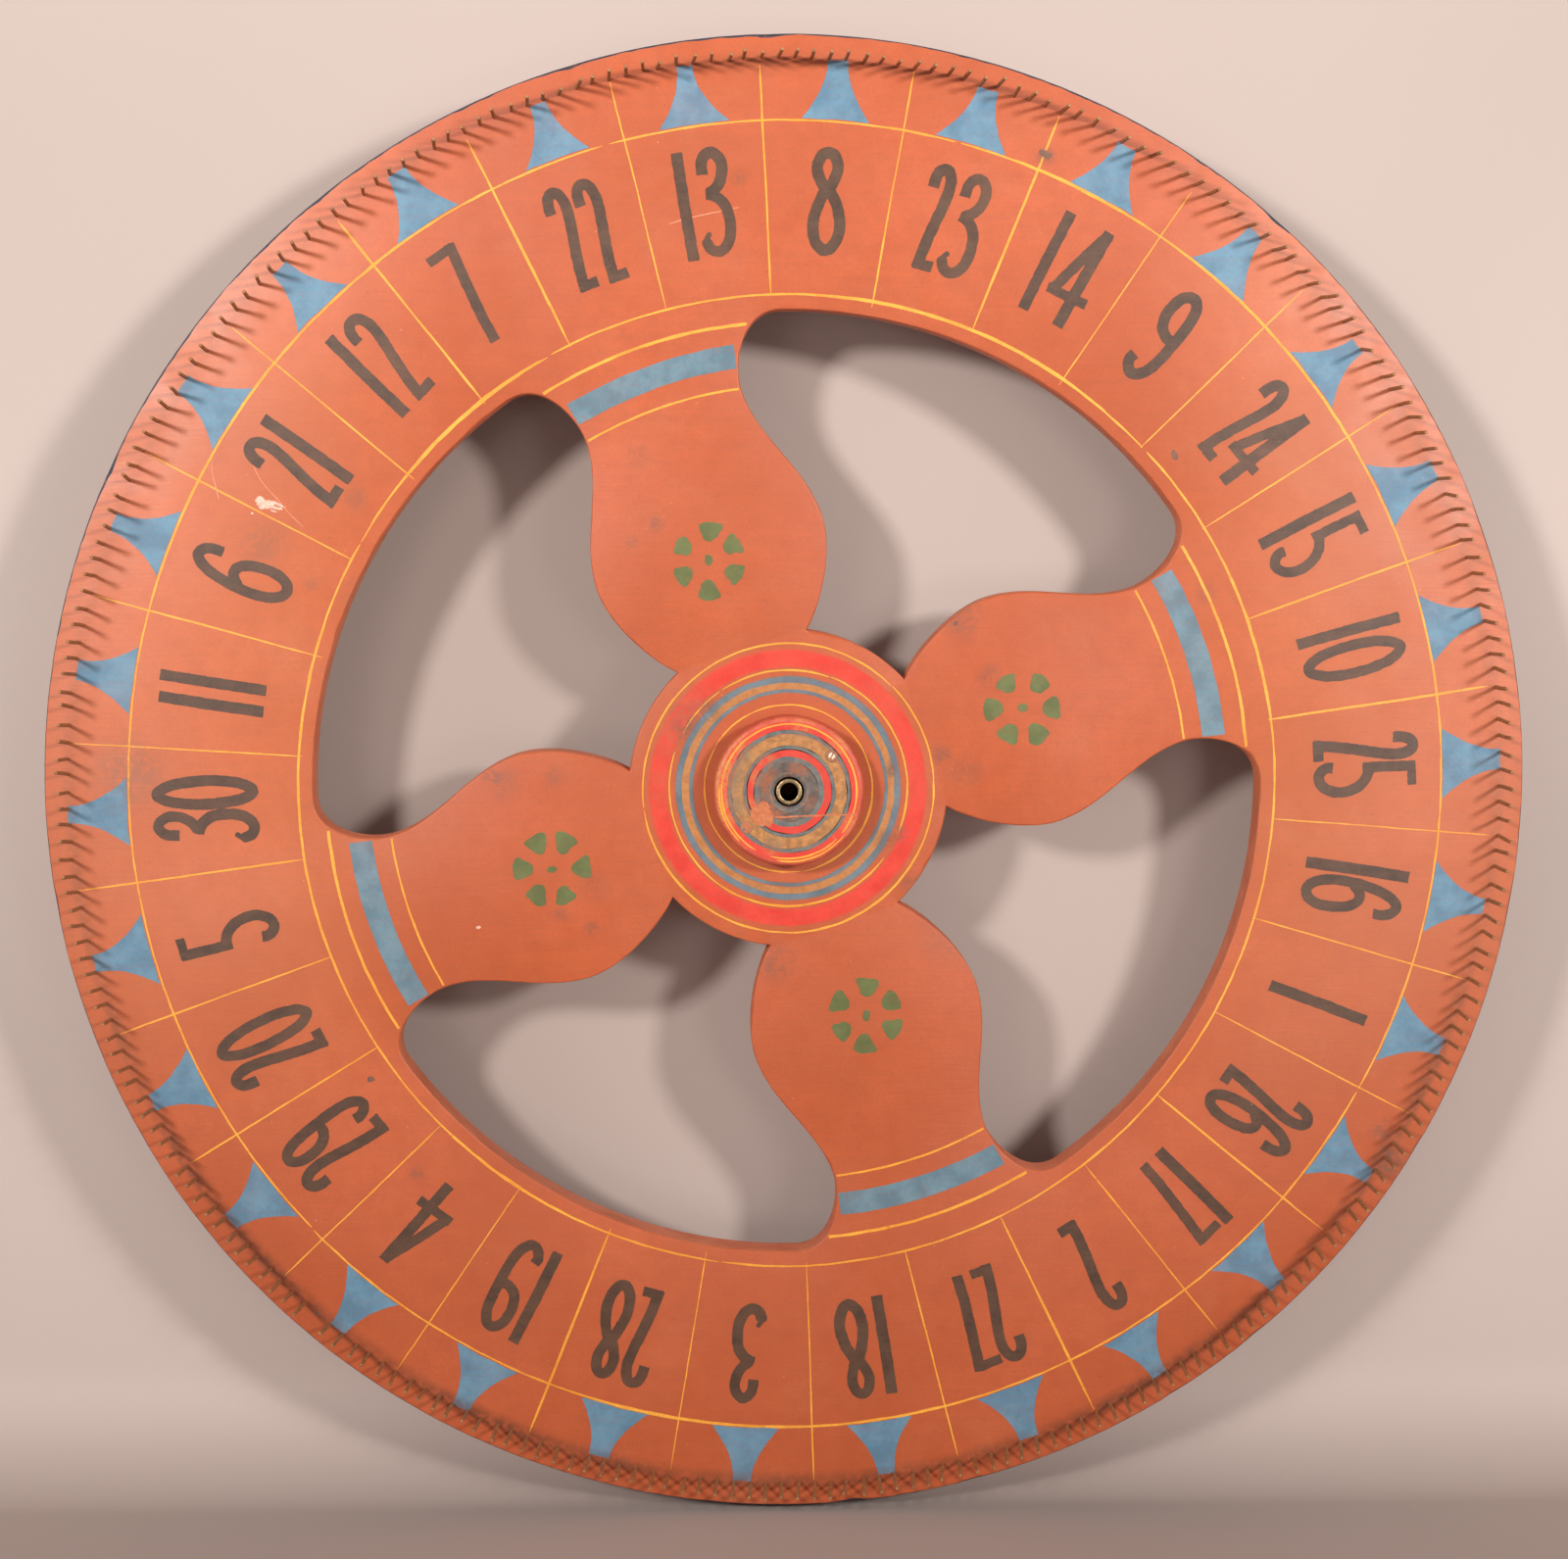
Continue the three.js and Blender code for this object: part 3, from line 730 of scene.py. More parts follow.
def make_board():
    rim = [polar(WHEEL_RADIUS, -k * 0.4) for k in range(900)]
    bore = arc(BOSS_BORE, 0, 360, 72)[:-1]
    loops = [rim] + [cutout(i) for i in range(SPOKES)] + [bore]
    dings = random.Random(11)
    verts, faces, paints = [], [], []
    fronts, backs, front_ids, back_ids = [], [], [], []
    for number, loop in enumerate(loops):
        round_off = [max(0.35, 1.0 + 0.4 * rough(x, y, 30, 3) + 0.35 * rough(x, y, 6, 4))
                     for x, y in loop]
        n = len(loop)
        for _ in range(14 if number == 0 else 5 if loop is not bore else 0):
            at = dings.randrange(n)
            deep, wide = dings.uniform(0.6, 1.5), dings.uniform(1, 3)
            for k in range(-8, 9):
                round_off[(at + k) % n] += deep * math.exp(-(k / wide) ** 2)
        # From the front face over the arris, down the wall and onto the back face.
        front, back = [], []
        for turn in (math.radians(degrees) for degrees in (90, 60, 30, 0)):
            level, slope = 1 - math.cos(turn), 1 - math.sin(turn)
            front.append((inset(loop, [r * level for r in round_off]),
                          [-r * slope for r in round_off]))
            back.append((inset(loop, [0.9 * level] * n), [-2 * FACE + 0.9 * slope] * n))
        walls = [(loop, [-2 * FACE * k / 5] * n) for k in range(1, 5)]
        rows = front + walls + back[::-1]
        starts = []
        for points, heights in rows:
            starts.append(len(verts))
            verts += [on_face(x, y, h) for (x, y), h in zip(points, heights)]
        for upper, lower, row in zip(starts, starts[1:], range(len(rows))):
            for k in range(n):
                a, b = k, (k + 1) % n
                faces.append((lower + a, lower + b, upper + b, upper + a))
                if number == 0:
                    # The dark paint of the rim laps over the arris round the top.
                    at_top = -78 < math.degrees(math.atan2(*loop[k])) < 42
                    paints.append(1 if row >= 1 or at_top else 0)
                else:
                    paints.append(2 if row >= 2 else 0)
        fronts.append(rows[0][0])
        backs.append(rows[-1][0])
        front_ids += range(starts[0], starts[0] + n)
        back_ids += range(starts[-1], starts[-1] + n)
    for a, b, c in filled(fronts):
        faces.append((front_ids[a], front_ids[b], front_ids[c]))
        paints.append(0)
    for a, b, c in filled(backs):
        faces.append((back_ids[c], back_ids[b], back_ids[a]))
        paints.append(3)
    piece("board", verts, faces, [board_paint(), rim_paint(), wall_paint(), back_paint()], "wheel",
          "board_paint", ["wheel_board"], smooth=True, paint_of=paints)


make_board()


# ---- Painted lines, triangles and bands ----
def crossing_angle(axis_angle, side, radius):
    """Where a circle about the axle meets a spoke's edge."""
    edge = spoke_edge(axis_angle, side)
    for (ax, ay), (bx, by) in zip(edge, edge[1:]):
        a, b = math.hypot(ax, ay), math.hypot(bx, by)
        if a <= radius <= b:
            t = (radius - a) / (b - a)
            return math.degrees(math.atan2(ax + t * (bx - ax), ay + t * (by - ay)))
    raise ValueError("the circle misses the spoke")


def ring_in_stretches(plates, radius, half, seed, gaps, bold=()):
    """A ring line with the gaps where the brush was lifted, and bolder stretches."""
    edges = sorted(gaps)
    for k, (start, length) in enumerate(edges):
        following = edges[(k + 1) % len(edges)][0]
        begin, end = start + length, following + (360 if k + 1 == len(edges) else 0)
        plates.band(radius - half, radius + half, begin, end, seed + k, 0.22, 0.35, taper=14)
    for start, end, width in bold:
        plates.band(radius - width, radius + width, start, end, seed + 31, 0.25, 0.35, taper=40,
                    high=0.17)


circles = Plates()
ring_in_stretches(circles, INNER_CIRCLE, 0.62, 21,
                  [(46, 0.7), (188, 0.3), (300, 0.25), (331, 0.5)],
                  [(2, 40, 1.05), (62, 84, 0.9), (308, 330, 1.2), (205, 226, 0.95),
                   (240, 290, 0.8)])
ring_in_stretches(circles, OUTER_CIRCLE, 0.6, 41,
                  [(14.5, 0.4), (118, 0.3), (227, 0.3), (344, 0.5)],
                  [(18, 33, 1.0), (34, 62, 0.85), (160, 200, 0.8), (285, 330, 0.75)])
circles.piece("painted_circles", YELLOW, "paint_yellow")

hand = random.Random(5)
sector_lines = Plates()
for k in range(SECTORS):
    angle = FIRST_SECTOR_ANGLE + SECTOR * (k + 0.5)
    lean, bold = hand.uniform(-0.12, 0.12), hand.choice((0.4, 0.45, 0.5, 0.58, 0.72))
    first, last = INNER_CIRCLE - hand.uniform(-1, 5), 441 + hand.uniform(-3, 2)
    pts, widths = [], []
    for i in range(48):
        radius = first + (last - first) * i / 47
        pts.append(polar(radius, angle + lean * (radius - 370) / 70
                         + 0.03 * rough(radius, k * 50, 45)))
        end = min(i, 47 - i) / 47
        widths.append(bold * min(1.0, 0.3 + 9 * end) * (1 + 0.2 * rough(radius, k * 50, 60, 2)))
    sector_lines.line(pts, widths, 60 + k, 0.12, high=0.10)
sector_lines.piece("painted_sector_lines", YELLOW, "paint_yellow")

triangles = Plates()
for k in range(SECTORS):
    centre = FIRST_SECTOR_ANGLE + SECTOR * k + hand.uniform(-0.15, 0.15)
    low, high = 407.2, 442.5 + hand.uniform(-1.5, 1.0)
    sides = []
    for side in (-1, 1):
        base = 3.05 + hand.uniform(-0.25, 0.2)
        tip = 0.72 + hand.uniform(-0.15, 0.2)
        belly = 2.05 + hand.uniform(-0.15, 0.15)
        pts = []
        for i in range(25):
            t = i / 24
            out = base + (tip - base) * (1 - (1 - t) ** belly)
            radius = low + (high - low) * t
            x, y = polar(radius, centre)
            pts.append(polar(radius, centre + side * (out + 0.03 * rough(x, y, 6, k + side))))
        sides.append(pts)
    top = []
    for i in range(1, 6):
        t = i / 6
        a, b = sides[0][-1], sides[1][-1]
        x, y = a[0] + (b[0] - a[0]) * t, a[1] + (b[1] - a[1]) * t
        grow = 1 + 0.6 * rough(x, y, 5, 9) / high
        top.append((x * grow, y * grow))
    base_arc = []
    start, end = (math.degrees(math.atan2(*side[0])) for side in sides[::-1])
    if end > start:
        start += 360  # across the angle where atan2 jumps
    for i in range(1, 12):
        angle = start + (end - start) * i / 12
        base_arc.append(polar(low + 0.5 * rough(*polar(low, angle), 12, 13), angle))
    triangles.add([(sides[0] + top + sides[1][::-1] + base_arc)[::-1]])
triangles.piece("painted_triangles", BLUE, "paint_blue")

blue_bands, yellow_bands = Plates(), Plates()
for k in range(SPOKES):
    axis = FIRST_SPOKE_ANGLE + 90 * k

    def across(radius, margin=1.6):
        spare = math.degrees(margin / radius)
        start = crossing_angle(axis, -1, radius) % 360 + spare
        end = crossing_angle(axis, 1, radius) % 360 - spare
        return (start - 360 if start > end else start, end)

    lean = (0.8, -1.6, 1.2, 2.2)[k]
    start, end = across(262)
    blue_bands.band(258.3, 272.6, start, end, 70 + k, 0.25, 0.5, slant=lean)
    start, end = across(246.5)
    yellow_bands.band(245.8, 247.1, start, end, 80 + k, 0.2, 0.4, slant=0.5 * lean)
    start, end = across(285, 3)
    yellow_bands.band(284.1, 285.9, start, end, 90 + k, 0.25, 0.5, slant=0.6 * lean)
blue_bands.piece("painted_spoke_bands_blue", BAND_BLUE, "paint_blue")
yellow_bands.piece("painted_spoke_bands_yellow", YELLOW, "paint_yellow")


# ---- Numbers ----
def make_number(index, text, limits):
    step, seed = 0.3, 100 + index
    rng = random.Random(seed)
    left, bottom = -32.0, 318.0
    xs, ys = np.meshgrid(np.arange(left, 32.0, step), np.arange(bottom, 401.0, step))
    field = np.full_like(xs, 1e9)
    for place, (character, start, end) in enumerate(zip(text, limits[::2], limits[1::2])):
        width, strokes = FIGURES[character]
        scale = (end - start) / width
        base = FIGURE_BASE + rng.uniform(-0.6, 0.6)
        tall = (FIGURE_HEIGHT + rng.uniform(-0.8, 0.8)) / FIGURE_HEIGHT
        flip = (text, place) in BACKWARD_LEAN
        for half, square_start, square_end, curved, points in strokes:
            points = [(start + (width - x if flip else x) * scale, base + y * tall * 0.985)
                      for x, y in points]
            if curved:
                points = [tuple(p) for p in along_curve(points)]
            field = np.minimum(field, stroke_field(xs, ys, half + rng.uniform(-0.12, 0.15),
                                                   square_start, square_end, points))
    field += 0.16 * ripple(xs, ys, seed, 7) + 0.10 * ripple(xs, ys, seed + 7, 2.4)
    turn = FIRST_SECTOR_ANGLE + SECTOR * index
    cos, sin = math.cos(math.radians(turn)), math.sin(math.radians(turn))
    loops = [[(x * cos + y * sin, y * cos - x * sin) for x, y in loop]
             for loop in outlines(field, left, bottom, step)]
    Plates().add(loops).piece("number_" + text.zfill(2), DARK, "paint_dark")


for index, (text, *limits) in enumerate(NUMBERS):
    make_number(index, text, limits)


# ---- Flowers ----
FLOWER_CENTRES = ((340.8, 148.8), (71.0, 153.3), (161.2, 150.2), (251.1, 154.5))
FLOWER_REACH, FLOWER_STEP = 29, 0.4  # half the side of a flower's field, and its step
flowers = Plates()
for index, (angle, distance) in enumerate(FLOWER_CENTRES):
    cx, cy = polar(distance, angle)
    ticks = np.arange(-FLOWER_REACH, FLOWER_REACH, FLOWER_STEP)
    xs, ys = np.meshgrid(ticks, ticks)
    field = np.full_like(xs, 1e9)
    for petal in range(6):
        turn = math.radians(angle + 18.4 + 60 * petal + hand.uniform(-5, 5))
        u = xs * math.cos(turn) - ys * math.sin(turn)
        v = xs * math.sin(turn) + ys * math.cos(turn)
        tip = 23.5 + hand.uniform(-1, 1)
        skew = hand.uniform(-0.25, 0.25)
        half = 1.9 + 0.5 * (v - 10.5) * (1 + skew * np.sign(u)) - 2.6
        side, foot = 0.89 * (np.abs(u) - half), 14.2 - v
        end = np.hypot(u, v - 6) - (tip - 6) + 2.6
        outside = np.sqrt(sum(np.maximum(part, 0) ** 2 for part in (side, end, foot)))
        shape = outside + np.minimum(np.maximum(np.maximum(side, end), foot), 0) - 2.6
        field = np.minimum(field, np.where(v > 0, shape, 9))
    long_turn = math.radians(round(angle / 90) * 90)
    u = xs * math.cos(long_turn) - ys * math.sin(long_turn)
    v = xs * math.sin(long_turn) + ys * math.cos(long_turn)
    field = np.minimum(field, np.hypot(u * 1.2, v * 0.85) - 2.8)
    field += 0.6 * ripple(xs, ys, 300 + index, 9) + 0.3 * ripple(xs, ys, 310 + index, 3.5)
    for loop in outlines(field, cx - FLOWER_REACH, cy - FLOWER_REACH, FLOWER_STEP):
        flowers.add([loop])
flowers.piece("painted_flowers", GREEN, "paint_green")


# ---- Rings on the hub ----
hub_red = Plates().ring(75, 86.2, 120, 0.35, 0.6)
hub_red.piece("hub_ring_red", HUB_RED, "boss_paint")
hub_yellow = Plates()
ring_in_stretches(hub_yellow, 90, 0.5, 130, [(45, 0.4), (118, 1.2), (262, 0.5)],
                  [(100, 175, 0.75), (205, 250, 0.65)])
ring_in_stretches(hub_yellow, 73.6, 0.5, 140, [(20, 0.7), (112, 14), (288, 10), (325, 1.2)],
                  [(135, 215, 0.7), (88, 111, 0.7)])
ring_in_stretches(hub_yellow, 52.2, 0.45, 150, [(170, 1), (300, 0.6)], [(80, 160, 0.75)])
hub_yellow.piece("hub_rings_yellow", YELLOW, "paint_yellow")
hub_blue = Plates().ring(65.7, 69.7, 160, 0.3, 0.5).ring(59.1, 61.4, 161, 0.25, 0.4)
hub_blue.piece("hub_rings_blue", HUB_BLUE, "paint_blue")
hub_ochre = Plates().ring(61.2, 66.3, 162, 0.3, 0.4, low=-0.12, high=0.11)
hub_ochre.piece("hub_ring_ochre", OCHRE, "paint_yellow")


# ---- Boss, sleeve and screws ----
def turned(profile, segments, wobble=0.0, seed=0):
    """A closed ring of revolution about the axle, from points (radius, height) in millimetres."""
    verts, faces, n = [], [], len(profile)
    for k in range(segments):
        angle = 360 * k / segments
        for radius, height in profile:
            x, y = polar(radius, angle)
            grow = 1 + wobble * (rough(x, y, 14, seed) + 0.5 * rough(x, y, 3, seed + 1)) / radius
            verts.append(on_face(x * grow, y * grow, height))
    for k in range(segments):
        for i in range(n):
            a, b = k * n + i, k * n + (i + 1) % n
            c, d = ((k + 1) % segments) * n + (i + 1) % n, ((k + 1) % segments) * n + i
            faces.append((a, b, c, d))
    return verts, faces


def rounded(radius, height, size, pieces=5):
    """Points round an upper arris whose corner is at (radius, height)."""
    angles = [math.radians(90 * i / pieces) for i in range(pieces + 1)]
    return [(radius - size + size * math.cos(a), height - size + size * math.sin(a))
            for a in angles]


def boss_wood():
    """The boss: red paint worn to grey and bare wood near the bore, and painted shade round the
    bore.
    """
    paint = Paint("boss_paint")
    radius = paint.radius()
    ragged = paint.ragged(radius, 7, 4, 0.6, sway=5.0)
    colour = paint.mix(paint.patches((7, 4, 0.65), 0.35, 0.65), (184, 72, 52), (200, 92, 62))
    scuffs = paint.patches(SCUFFS, 0.38, 0.52)
    for place in BOSS_WEAR:
        colour = paint.mix(paint.times(paint.scuffed(*place), scuffs), colour, (204, 120, 74))
    centre = paint.mix(paint.patches((3.5, 4, 0.65), 0.4, 0.65), (96, 96, 98), (134, 112, 96))
    colour = paint.mix(paint.span(ragged, 21.2, 19.8), colour, centre)
    bare = paint.times(paint.patches((2.6, 4, 0.7), 0.56, 0.64), paint.span(ragged, 25, 12))
    colour = paint.mix(bare, colour, (168, 108, 76))
    # Painted shade round the bore, where the sleeve sits in it.
    dirt_and_shade = paint.times(paint.span(radius, 13, 9.5), 0.6)
    colour = paint.mix(dirt_and_shade, colour, (58, 46, 40))
    chips = paint.patches((2.2, 5, 0.7), 0.66, 0.72)
    colour = paint.mix(paint.times(chips, 0.5), colour, (216, 120, 84))
    bump = paint.math("ADD", paint.noise(3, 4, 0.65), paint.noise(0.9, 2, 0.5))
    return paint.finish(colour, paint.patches((8,), 0.3, 0.7, 0.42, 0.62), bump, 0.22)


boss_profile = [
    (BOSS_BORE, -0.4), (BOSS_RADIUS, -0.4), (BOSS_RADIUS + 0.05, 5), (BOSS_RADIUS, 12),
    *rounded(BOSS_RADIUS, BOSS_HEIGHT, 2.6),
    (36, BOSS_HEIGHT), (24, BOSS_HEIGHT), (14, BOSS_HEIGHT), (BOSS_BORE + 0.4, BOSS_HEIGHT - 0.05),
    (BOSS_BORE + 0.1, BOSS_HEIGHT - 0.3), (BOSS_BORE, BOSS_HEIGHT - 0.8), (BOSS_BORE, 8)]
piece("boss", *turned(boss_profile, 160, 0.12, 5), [boss_wood()], "wheel", "boss_paint",
      ["hub_boss"], smooth=True)

IN_BOSS = BOSS_HEIGHT - 0.2  # where paint on the boss starts, just under its top
# Each with its rings as (inner radius, outer radius, seed).
for name, rings, paint, slot in (
        ("boss_ring_red_outer", [(37.7, 43.3, 171)], BOSS_RED, "boss_paint"),
        ("boss_ring_red_inner", [(21.5, 26.0, 172)], INNER_RED, "boss_paint"),
        ("boss_ring_ochre", [(28.2, 35.4, 173)], BOSS_OCHRE, "paint_yellow"),
        ("boss_rings_blue", [(35.3, 37.8, 174), (25.9, 28.3, 175), (18.4, 21.6, 176)], BOSS_BLUE,
         "paint_blue"),
        ("boss_centre_grey", [(12.5, 18.5, 177)], CENTRE, "paint_blue")):
    plates = Plates()
    for inner, outer, seed in rings:
        plates.ring(inner, outer, seed, 0.3, 0.35, IN_BOSS, BOSS_HEIGHT + 0.12, 1.5)
    plates.piece(name, paint, slot)
boss_line = Plates()
for start, end, shift, seed in ((-150, 128, 0.0, 181), (135, 196, 0.0, 182), (128, 190, 1.5, 183),
                                (225, 275, 1.2, 184)):
    boss_line.band(40.9 + shift, 41.9 + shift, start, end, seed, 0.18, 0.3, 6,
                   low=IN_BOSS, high=BOSS_HEIGHT + 0.2)
boss_line.piece("boss_line_yellow", YELLOW, "paint_yellow")
boss_marks = Plates()
boss_marks.blob(-17.2, -14.4, 15, 14, 25, 193, 0.4, 0.3, IN_BOSS, BOSS_HEIGHT + 0.32)
scratch = [(-9 + 2.2 * i, -15.6 + 0.075 * i + 0.25 * rough(i * 2, 0, 9, 2)) for i in range(24)]
boss_marks.line(scratch, [0.5 if i % 7 else 0.3 for i in range(24)], 192, 0.12, IN_BOSS,
                BOSS_HEIGHT + 0.3)
boss_marks.piece("boss_touch_up", TOUCH_UP, "boss_paint")


def sleeve_metal():
    """Tarnished brass with dirt in patches, and painted shade, nearly black, inside its bore."""
    paint = Paint("sleeve_metal")
    colour = paint.mix(paint.patches((3, 4, 0.6), 0.3, 0.7), (140, 116, 82), (176, 150, 108))
    dirt_and_shade = paint.patches((1.8, 5, 0.7), 0.5, 0.68)
    colour = paint.mix(paint.times(dirt_and_shade, 0.6), colour, (78, 62, 46))
    # Painted shade: the bore's walls nearly black.
    inside = paint.span(paint.radius(), SLEEVE_BORE + 0.25, SLEEVE_BORE, 0.0, 0.97)
    colour = paint.mix(inside, colour, (24, 20, 18))
    shine = paint.span(dirt_and_shade, 0, 1, 0.36, 0.66)
    return paint.finish(colour, shine, paint.noise(1.05, 4, 0.6), 0.15, metallic=0.8)


sleeve_front = BOSS_HEIGHT + SLEEVE_STAND
sleeve_back = -2 * FACE - SLEEVE_STAND
ease = 0.5
sleeve_profile = [
    (SLEEVE_BORE, sleeve_back + ease), (SLEEVE_BORE + ease, sleeve_back),
    (SLEEVE_RADIUS - ease, sleeve_back), (SLEEVE_RADIUS, sleeve_back + ease),
    (SLEEVE_RADIUS, sleeve_front - ease), (SLEEVE_RADIUS - 0.15, sleeve_front - 0.15),
    (SLEEVE_RADIUS - ease, sleeve_front), (SLEEVE_BORE + ease, sleeve_front),
    (SLEEVE_BORE + 0.15, sleeve_front - 0.15), (SLEEVE_BORE, sleeve_front - ease),
]
piece("sleeve", *turned(sleeve_profile, 72), [sleeve_metal()], "axle", "sleeve_metal",
      ["axle_sleeve"], smooth=True)


def screw_paint(name, angle, ring, middle, edge):
    """A painted-over screw head: dark round its edge, bare in the middle where it is chipped."""
    paint = Paint(name)
    away = paint.distance(*polar(SCREW_CIRCLE, angle))
    colour = paint.mix(paint.patches((1.6, 4, 0.65), 0.35, 0.65), ring, (168, 100, 70))
    bare = paint.span(paint.ragged(away, 1.8, 4, 0.65, sway=3.4), 2.1, 1.5)
    colour = paint.mix(bare, colour, middle)
    colour = paint.mix(paint.span(away, 3.2, 3.9, 0.0, 0.8), colour, edge)
    return paint.finish(colour, 0.5, paint.noise(0.8, 4, 0.65), 0.15, metallic=0.1)


CHIPPED = screw_paint("screw_chipped", SCREW_ANGLE, (138, 96, 70), (226, 212, 190), (84, 58, 46))
SCREW = screw_paint("screw_painted", SCREW_ANGLE + 180, (176, 108, 66), (184, 96, 62),
                    (112, 76, 56))


def make_screw(name, angle, slot_angle, paint, node):
    """A countersunk head with its slot, its shank hidden in the boss."""
    cx, cy = polar(SCREW_CIRCLE, angle)
    top = BOSS_HEIGHT + 0.18
    half_slot, slot_depth, segments = 0.55, 1.1, 48
    verts, faces = [], []

    def add(x, y, h):
        turn = math.radians(slot_angle)
        verts.append(on_face(cx + x * math.cos(turn) - y * math.sin(turn),
                             cy + x * math.sin(turn) + y * math.cos(turn), h))
        return len(verts) - 1

    # Each half of the head is a segment of the disc with a straight edge along the slot.
    for side in (1, -1):
        reach = math.sqrt(SCREW_RADIUS ** 2 - half_slot ** 2)
        start = math.atan2(half_slot, reach)
        rim = []
        for i in range(segments // 2 + 1):
            a = start + (math.pi - 2 * start) * i / (segments // 2)
            rim.append((SCREW_RADIUS * math.cos(a), side * SCREW_RADIUS * math.sin(a)))
        rings = []
        for shrink, height in ((1.0, top - 3.0), (1.0, top - 0.25), (0.97, top - 0.06), (0.9, top),
                               (0.5, top + 0.12)):
            rings.append([add(x * shrink, side * max(abs(y) * shrink, half_slot), height)
                          for x, y in rim])
        n = len(rim)
        for lower, upper in zip(rings, rings[1:]):
            for i in range(n):
                j = (i + 1) % n
                quad = (lower[i], lower[j], upper[j], upper[i])
                faces.append(quad if side > 0 else quad[::-1])
        faces.append(tuple(rings[-1]) if side > 0 else tuple(rings[-1][::-1]))
        faces.append(tuple(rings[0][::-1]) if side > 0 else tuple(rings[0]))
    # The floor of the slot.
    reach = SCREW_RADIUS * 0.97
    box = [add(x, y, h) for h in (top - 3.0, top - slot_depth)
           for x, y in ((-reach, -half_slot - 0.1), (reach, -half_slot - 0.1),
                        (reach, half_slot + 0.1), (-reach, half_slot + 0.1))]
    for quad in ((3, 2, 1, 0), (4, 5, 6, 7), (0, 1, 5, 4), (1, 2, 6, 5), (2, 3, 7, 6),
                 (3, 0, 4, 7)):
        faces.append(tuple(box[i] for i in quad))
    piece(name, verts, faces, [paint], "wheel", "screw_metal", [node])


make_screw("screw_upper", SCREW_ANGLE, 60, CHIPPED, "boss_screw_upper")
make_screw("screw_lower", SCREW_ANGLE + 180, 35, SCREW, "boss_screw_lower")


# ---- Nails ----
def nail_rust():
    paint = Paint("nail_metal")
    colour = paint.mix(paint.patches((2.5, 4, 0.65), 0.35, 0.65), (138, 92, 56), (168, 116, 72))
    dark = paint.patches((1.2, 3, 0.6), 0.6, 0.72)
    colour = paint.mix(paint.times(dark, 0.45), colour, (80, 50, 38))
    bright = paint.patches((0.9, 2, 0.5), 0.68, 0.76)
    colour = paint.mix(paint.times(bright, 0.4), colour, (190, 150, 112))
    return paint.finish(colour, paint.patches((1.5,), 0.3, 0.7, 0.5, 0.8),
                        paint.noise(0.6, 4, 0.65), 0.12, metallic=0.1)


NAIL = nail_rust()
NAIL_SIDES = 10


def add_nail(verts, faces, x, y, rng, odd):
    """One wire nail standing from the face: a slightly bent shaft with a dull cut end."""
    # Play has knocked the nails over clockwise, those on the left the most.
    radius = math.hypot(x, y)
    knocked = 3.0 - 2.4 * x / radius
    lean_x = math.radians(knocked * y / radius + rng.gauss(0, 1.5) + (6 if odd else 0))
    lean_y = math.radians(-knocked * x / radius + rng.gauss(0, 1.5))
    bow_x, bow_y = rng.uniform(-0.3, 0.3), rng.uniform(-0.3, 0.3)
    tall = NAIL_STAND - abs(rng.gauss(0, 0.7))
    slant = rng.uniform(-0.35, 0.35)
    size = NAIL_RADIUS * rng.uniform(0.94, 1.06)
    levels = [(-0.6, 1.0), (0.0, 1.0), (0.3, 1.0), (0.25 * tall, 1.0), (0.5 * tall, 0.99),
              (0.75 * tall, 0.98), (tall - 0.5, 0.97), (tall - 0.12, 0.86), (tall, 0.55)]
    start = len(verts)
    for height, scale in levels:
        t = height / tall
        bend = 4 * t * (1 - t)
        px = x + math.tan(lean_x) * height + bow_x * bend
        py = y + math.tan(lean_y) * height + bow_y * bend
        for k in range(NAIL_SIDES):
            a = TURN * k / NAIL_SIDES
            tilt = slant * math.cos(a) * scale * size if height > tall - 1 else 0
            verts.append(on_face(px + size * scale * math.cos(a), py + size * scale * math.sin(a),
                                 height + tilt))
    n = NAIL_SIDES
    for first in range(start, len(verts) - n, n):
        for k in range(n):
            a, b = first + k, first + (k + 1) % n
            faces.append((a, b, b + n, a + n))
    faces.append(tuple(range(start, start + n))[::-1])
    faces.append(tuple(range(len(verts) - n, len(verts))))


ODD_NAILS = {(3, 6), (4, 1)}  # sector and place, of those that lean further than the rest
pitch = SECTOR / NAILS_PER_SECTOR
for sector in range(SECTORS):
    verts, faces = [], []
    opening = FIRST_SECTOR_ANGLE + SECTOR * (sector - 0.5)
    rng = random.Random(700 + sector)
    for k in range(NAILS_PER_SECTOR):
        jitter, radial = rng.gauss(0, 0.06), rng.gauss(0, 0.45)
        if (sector, k) == MISSING_NAIL:
            hole = polar(NAIL_CIRCLE, opening + pitch * k)
            continue
        x, y = polar(NAIL_CIRCLE + radial, opening + pitch * k + jitter)
        add_nail(verts, faces, x, y, rng, (sector, k) in ODD_NAILS)
    piece("nails_%02d" % (sector + 1), verts, faces, [NAIL], "wheel", "nail_metal",
          ["nails_sector_%02d" % (sector + 1)], smooth=True)


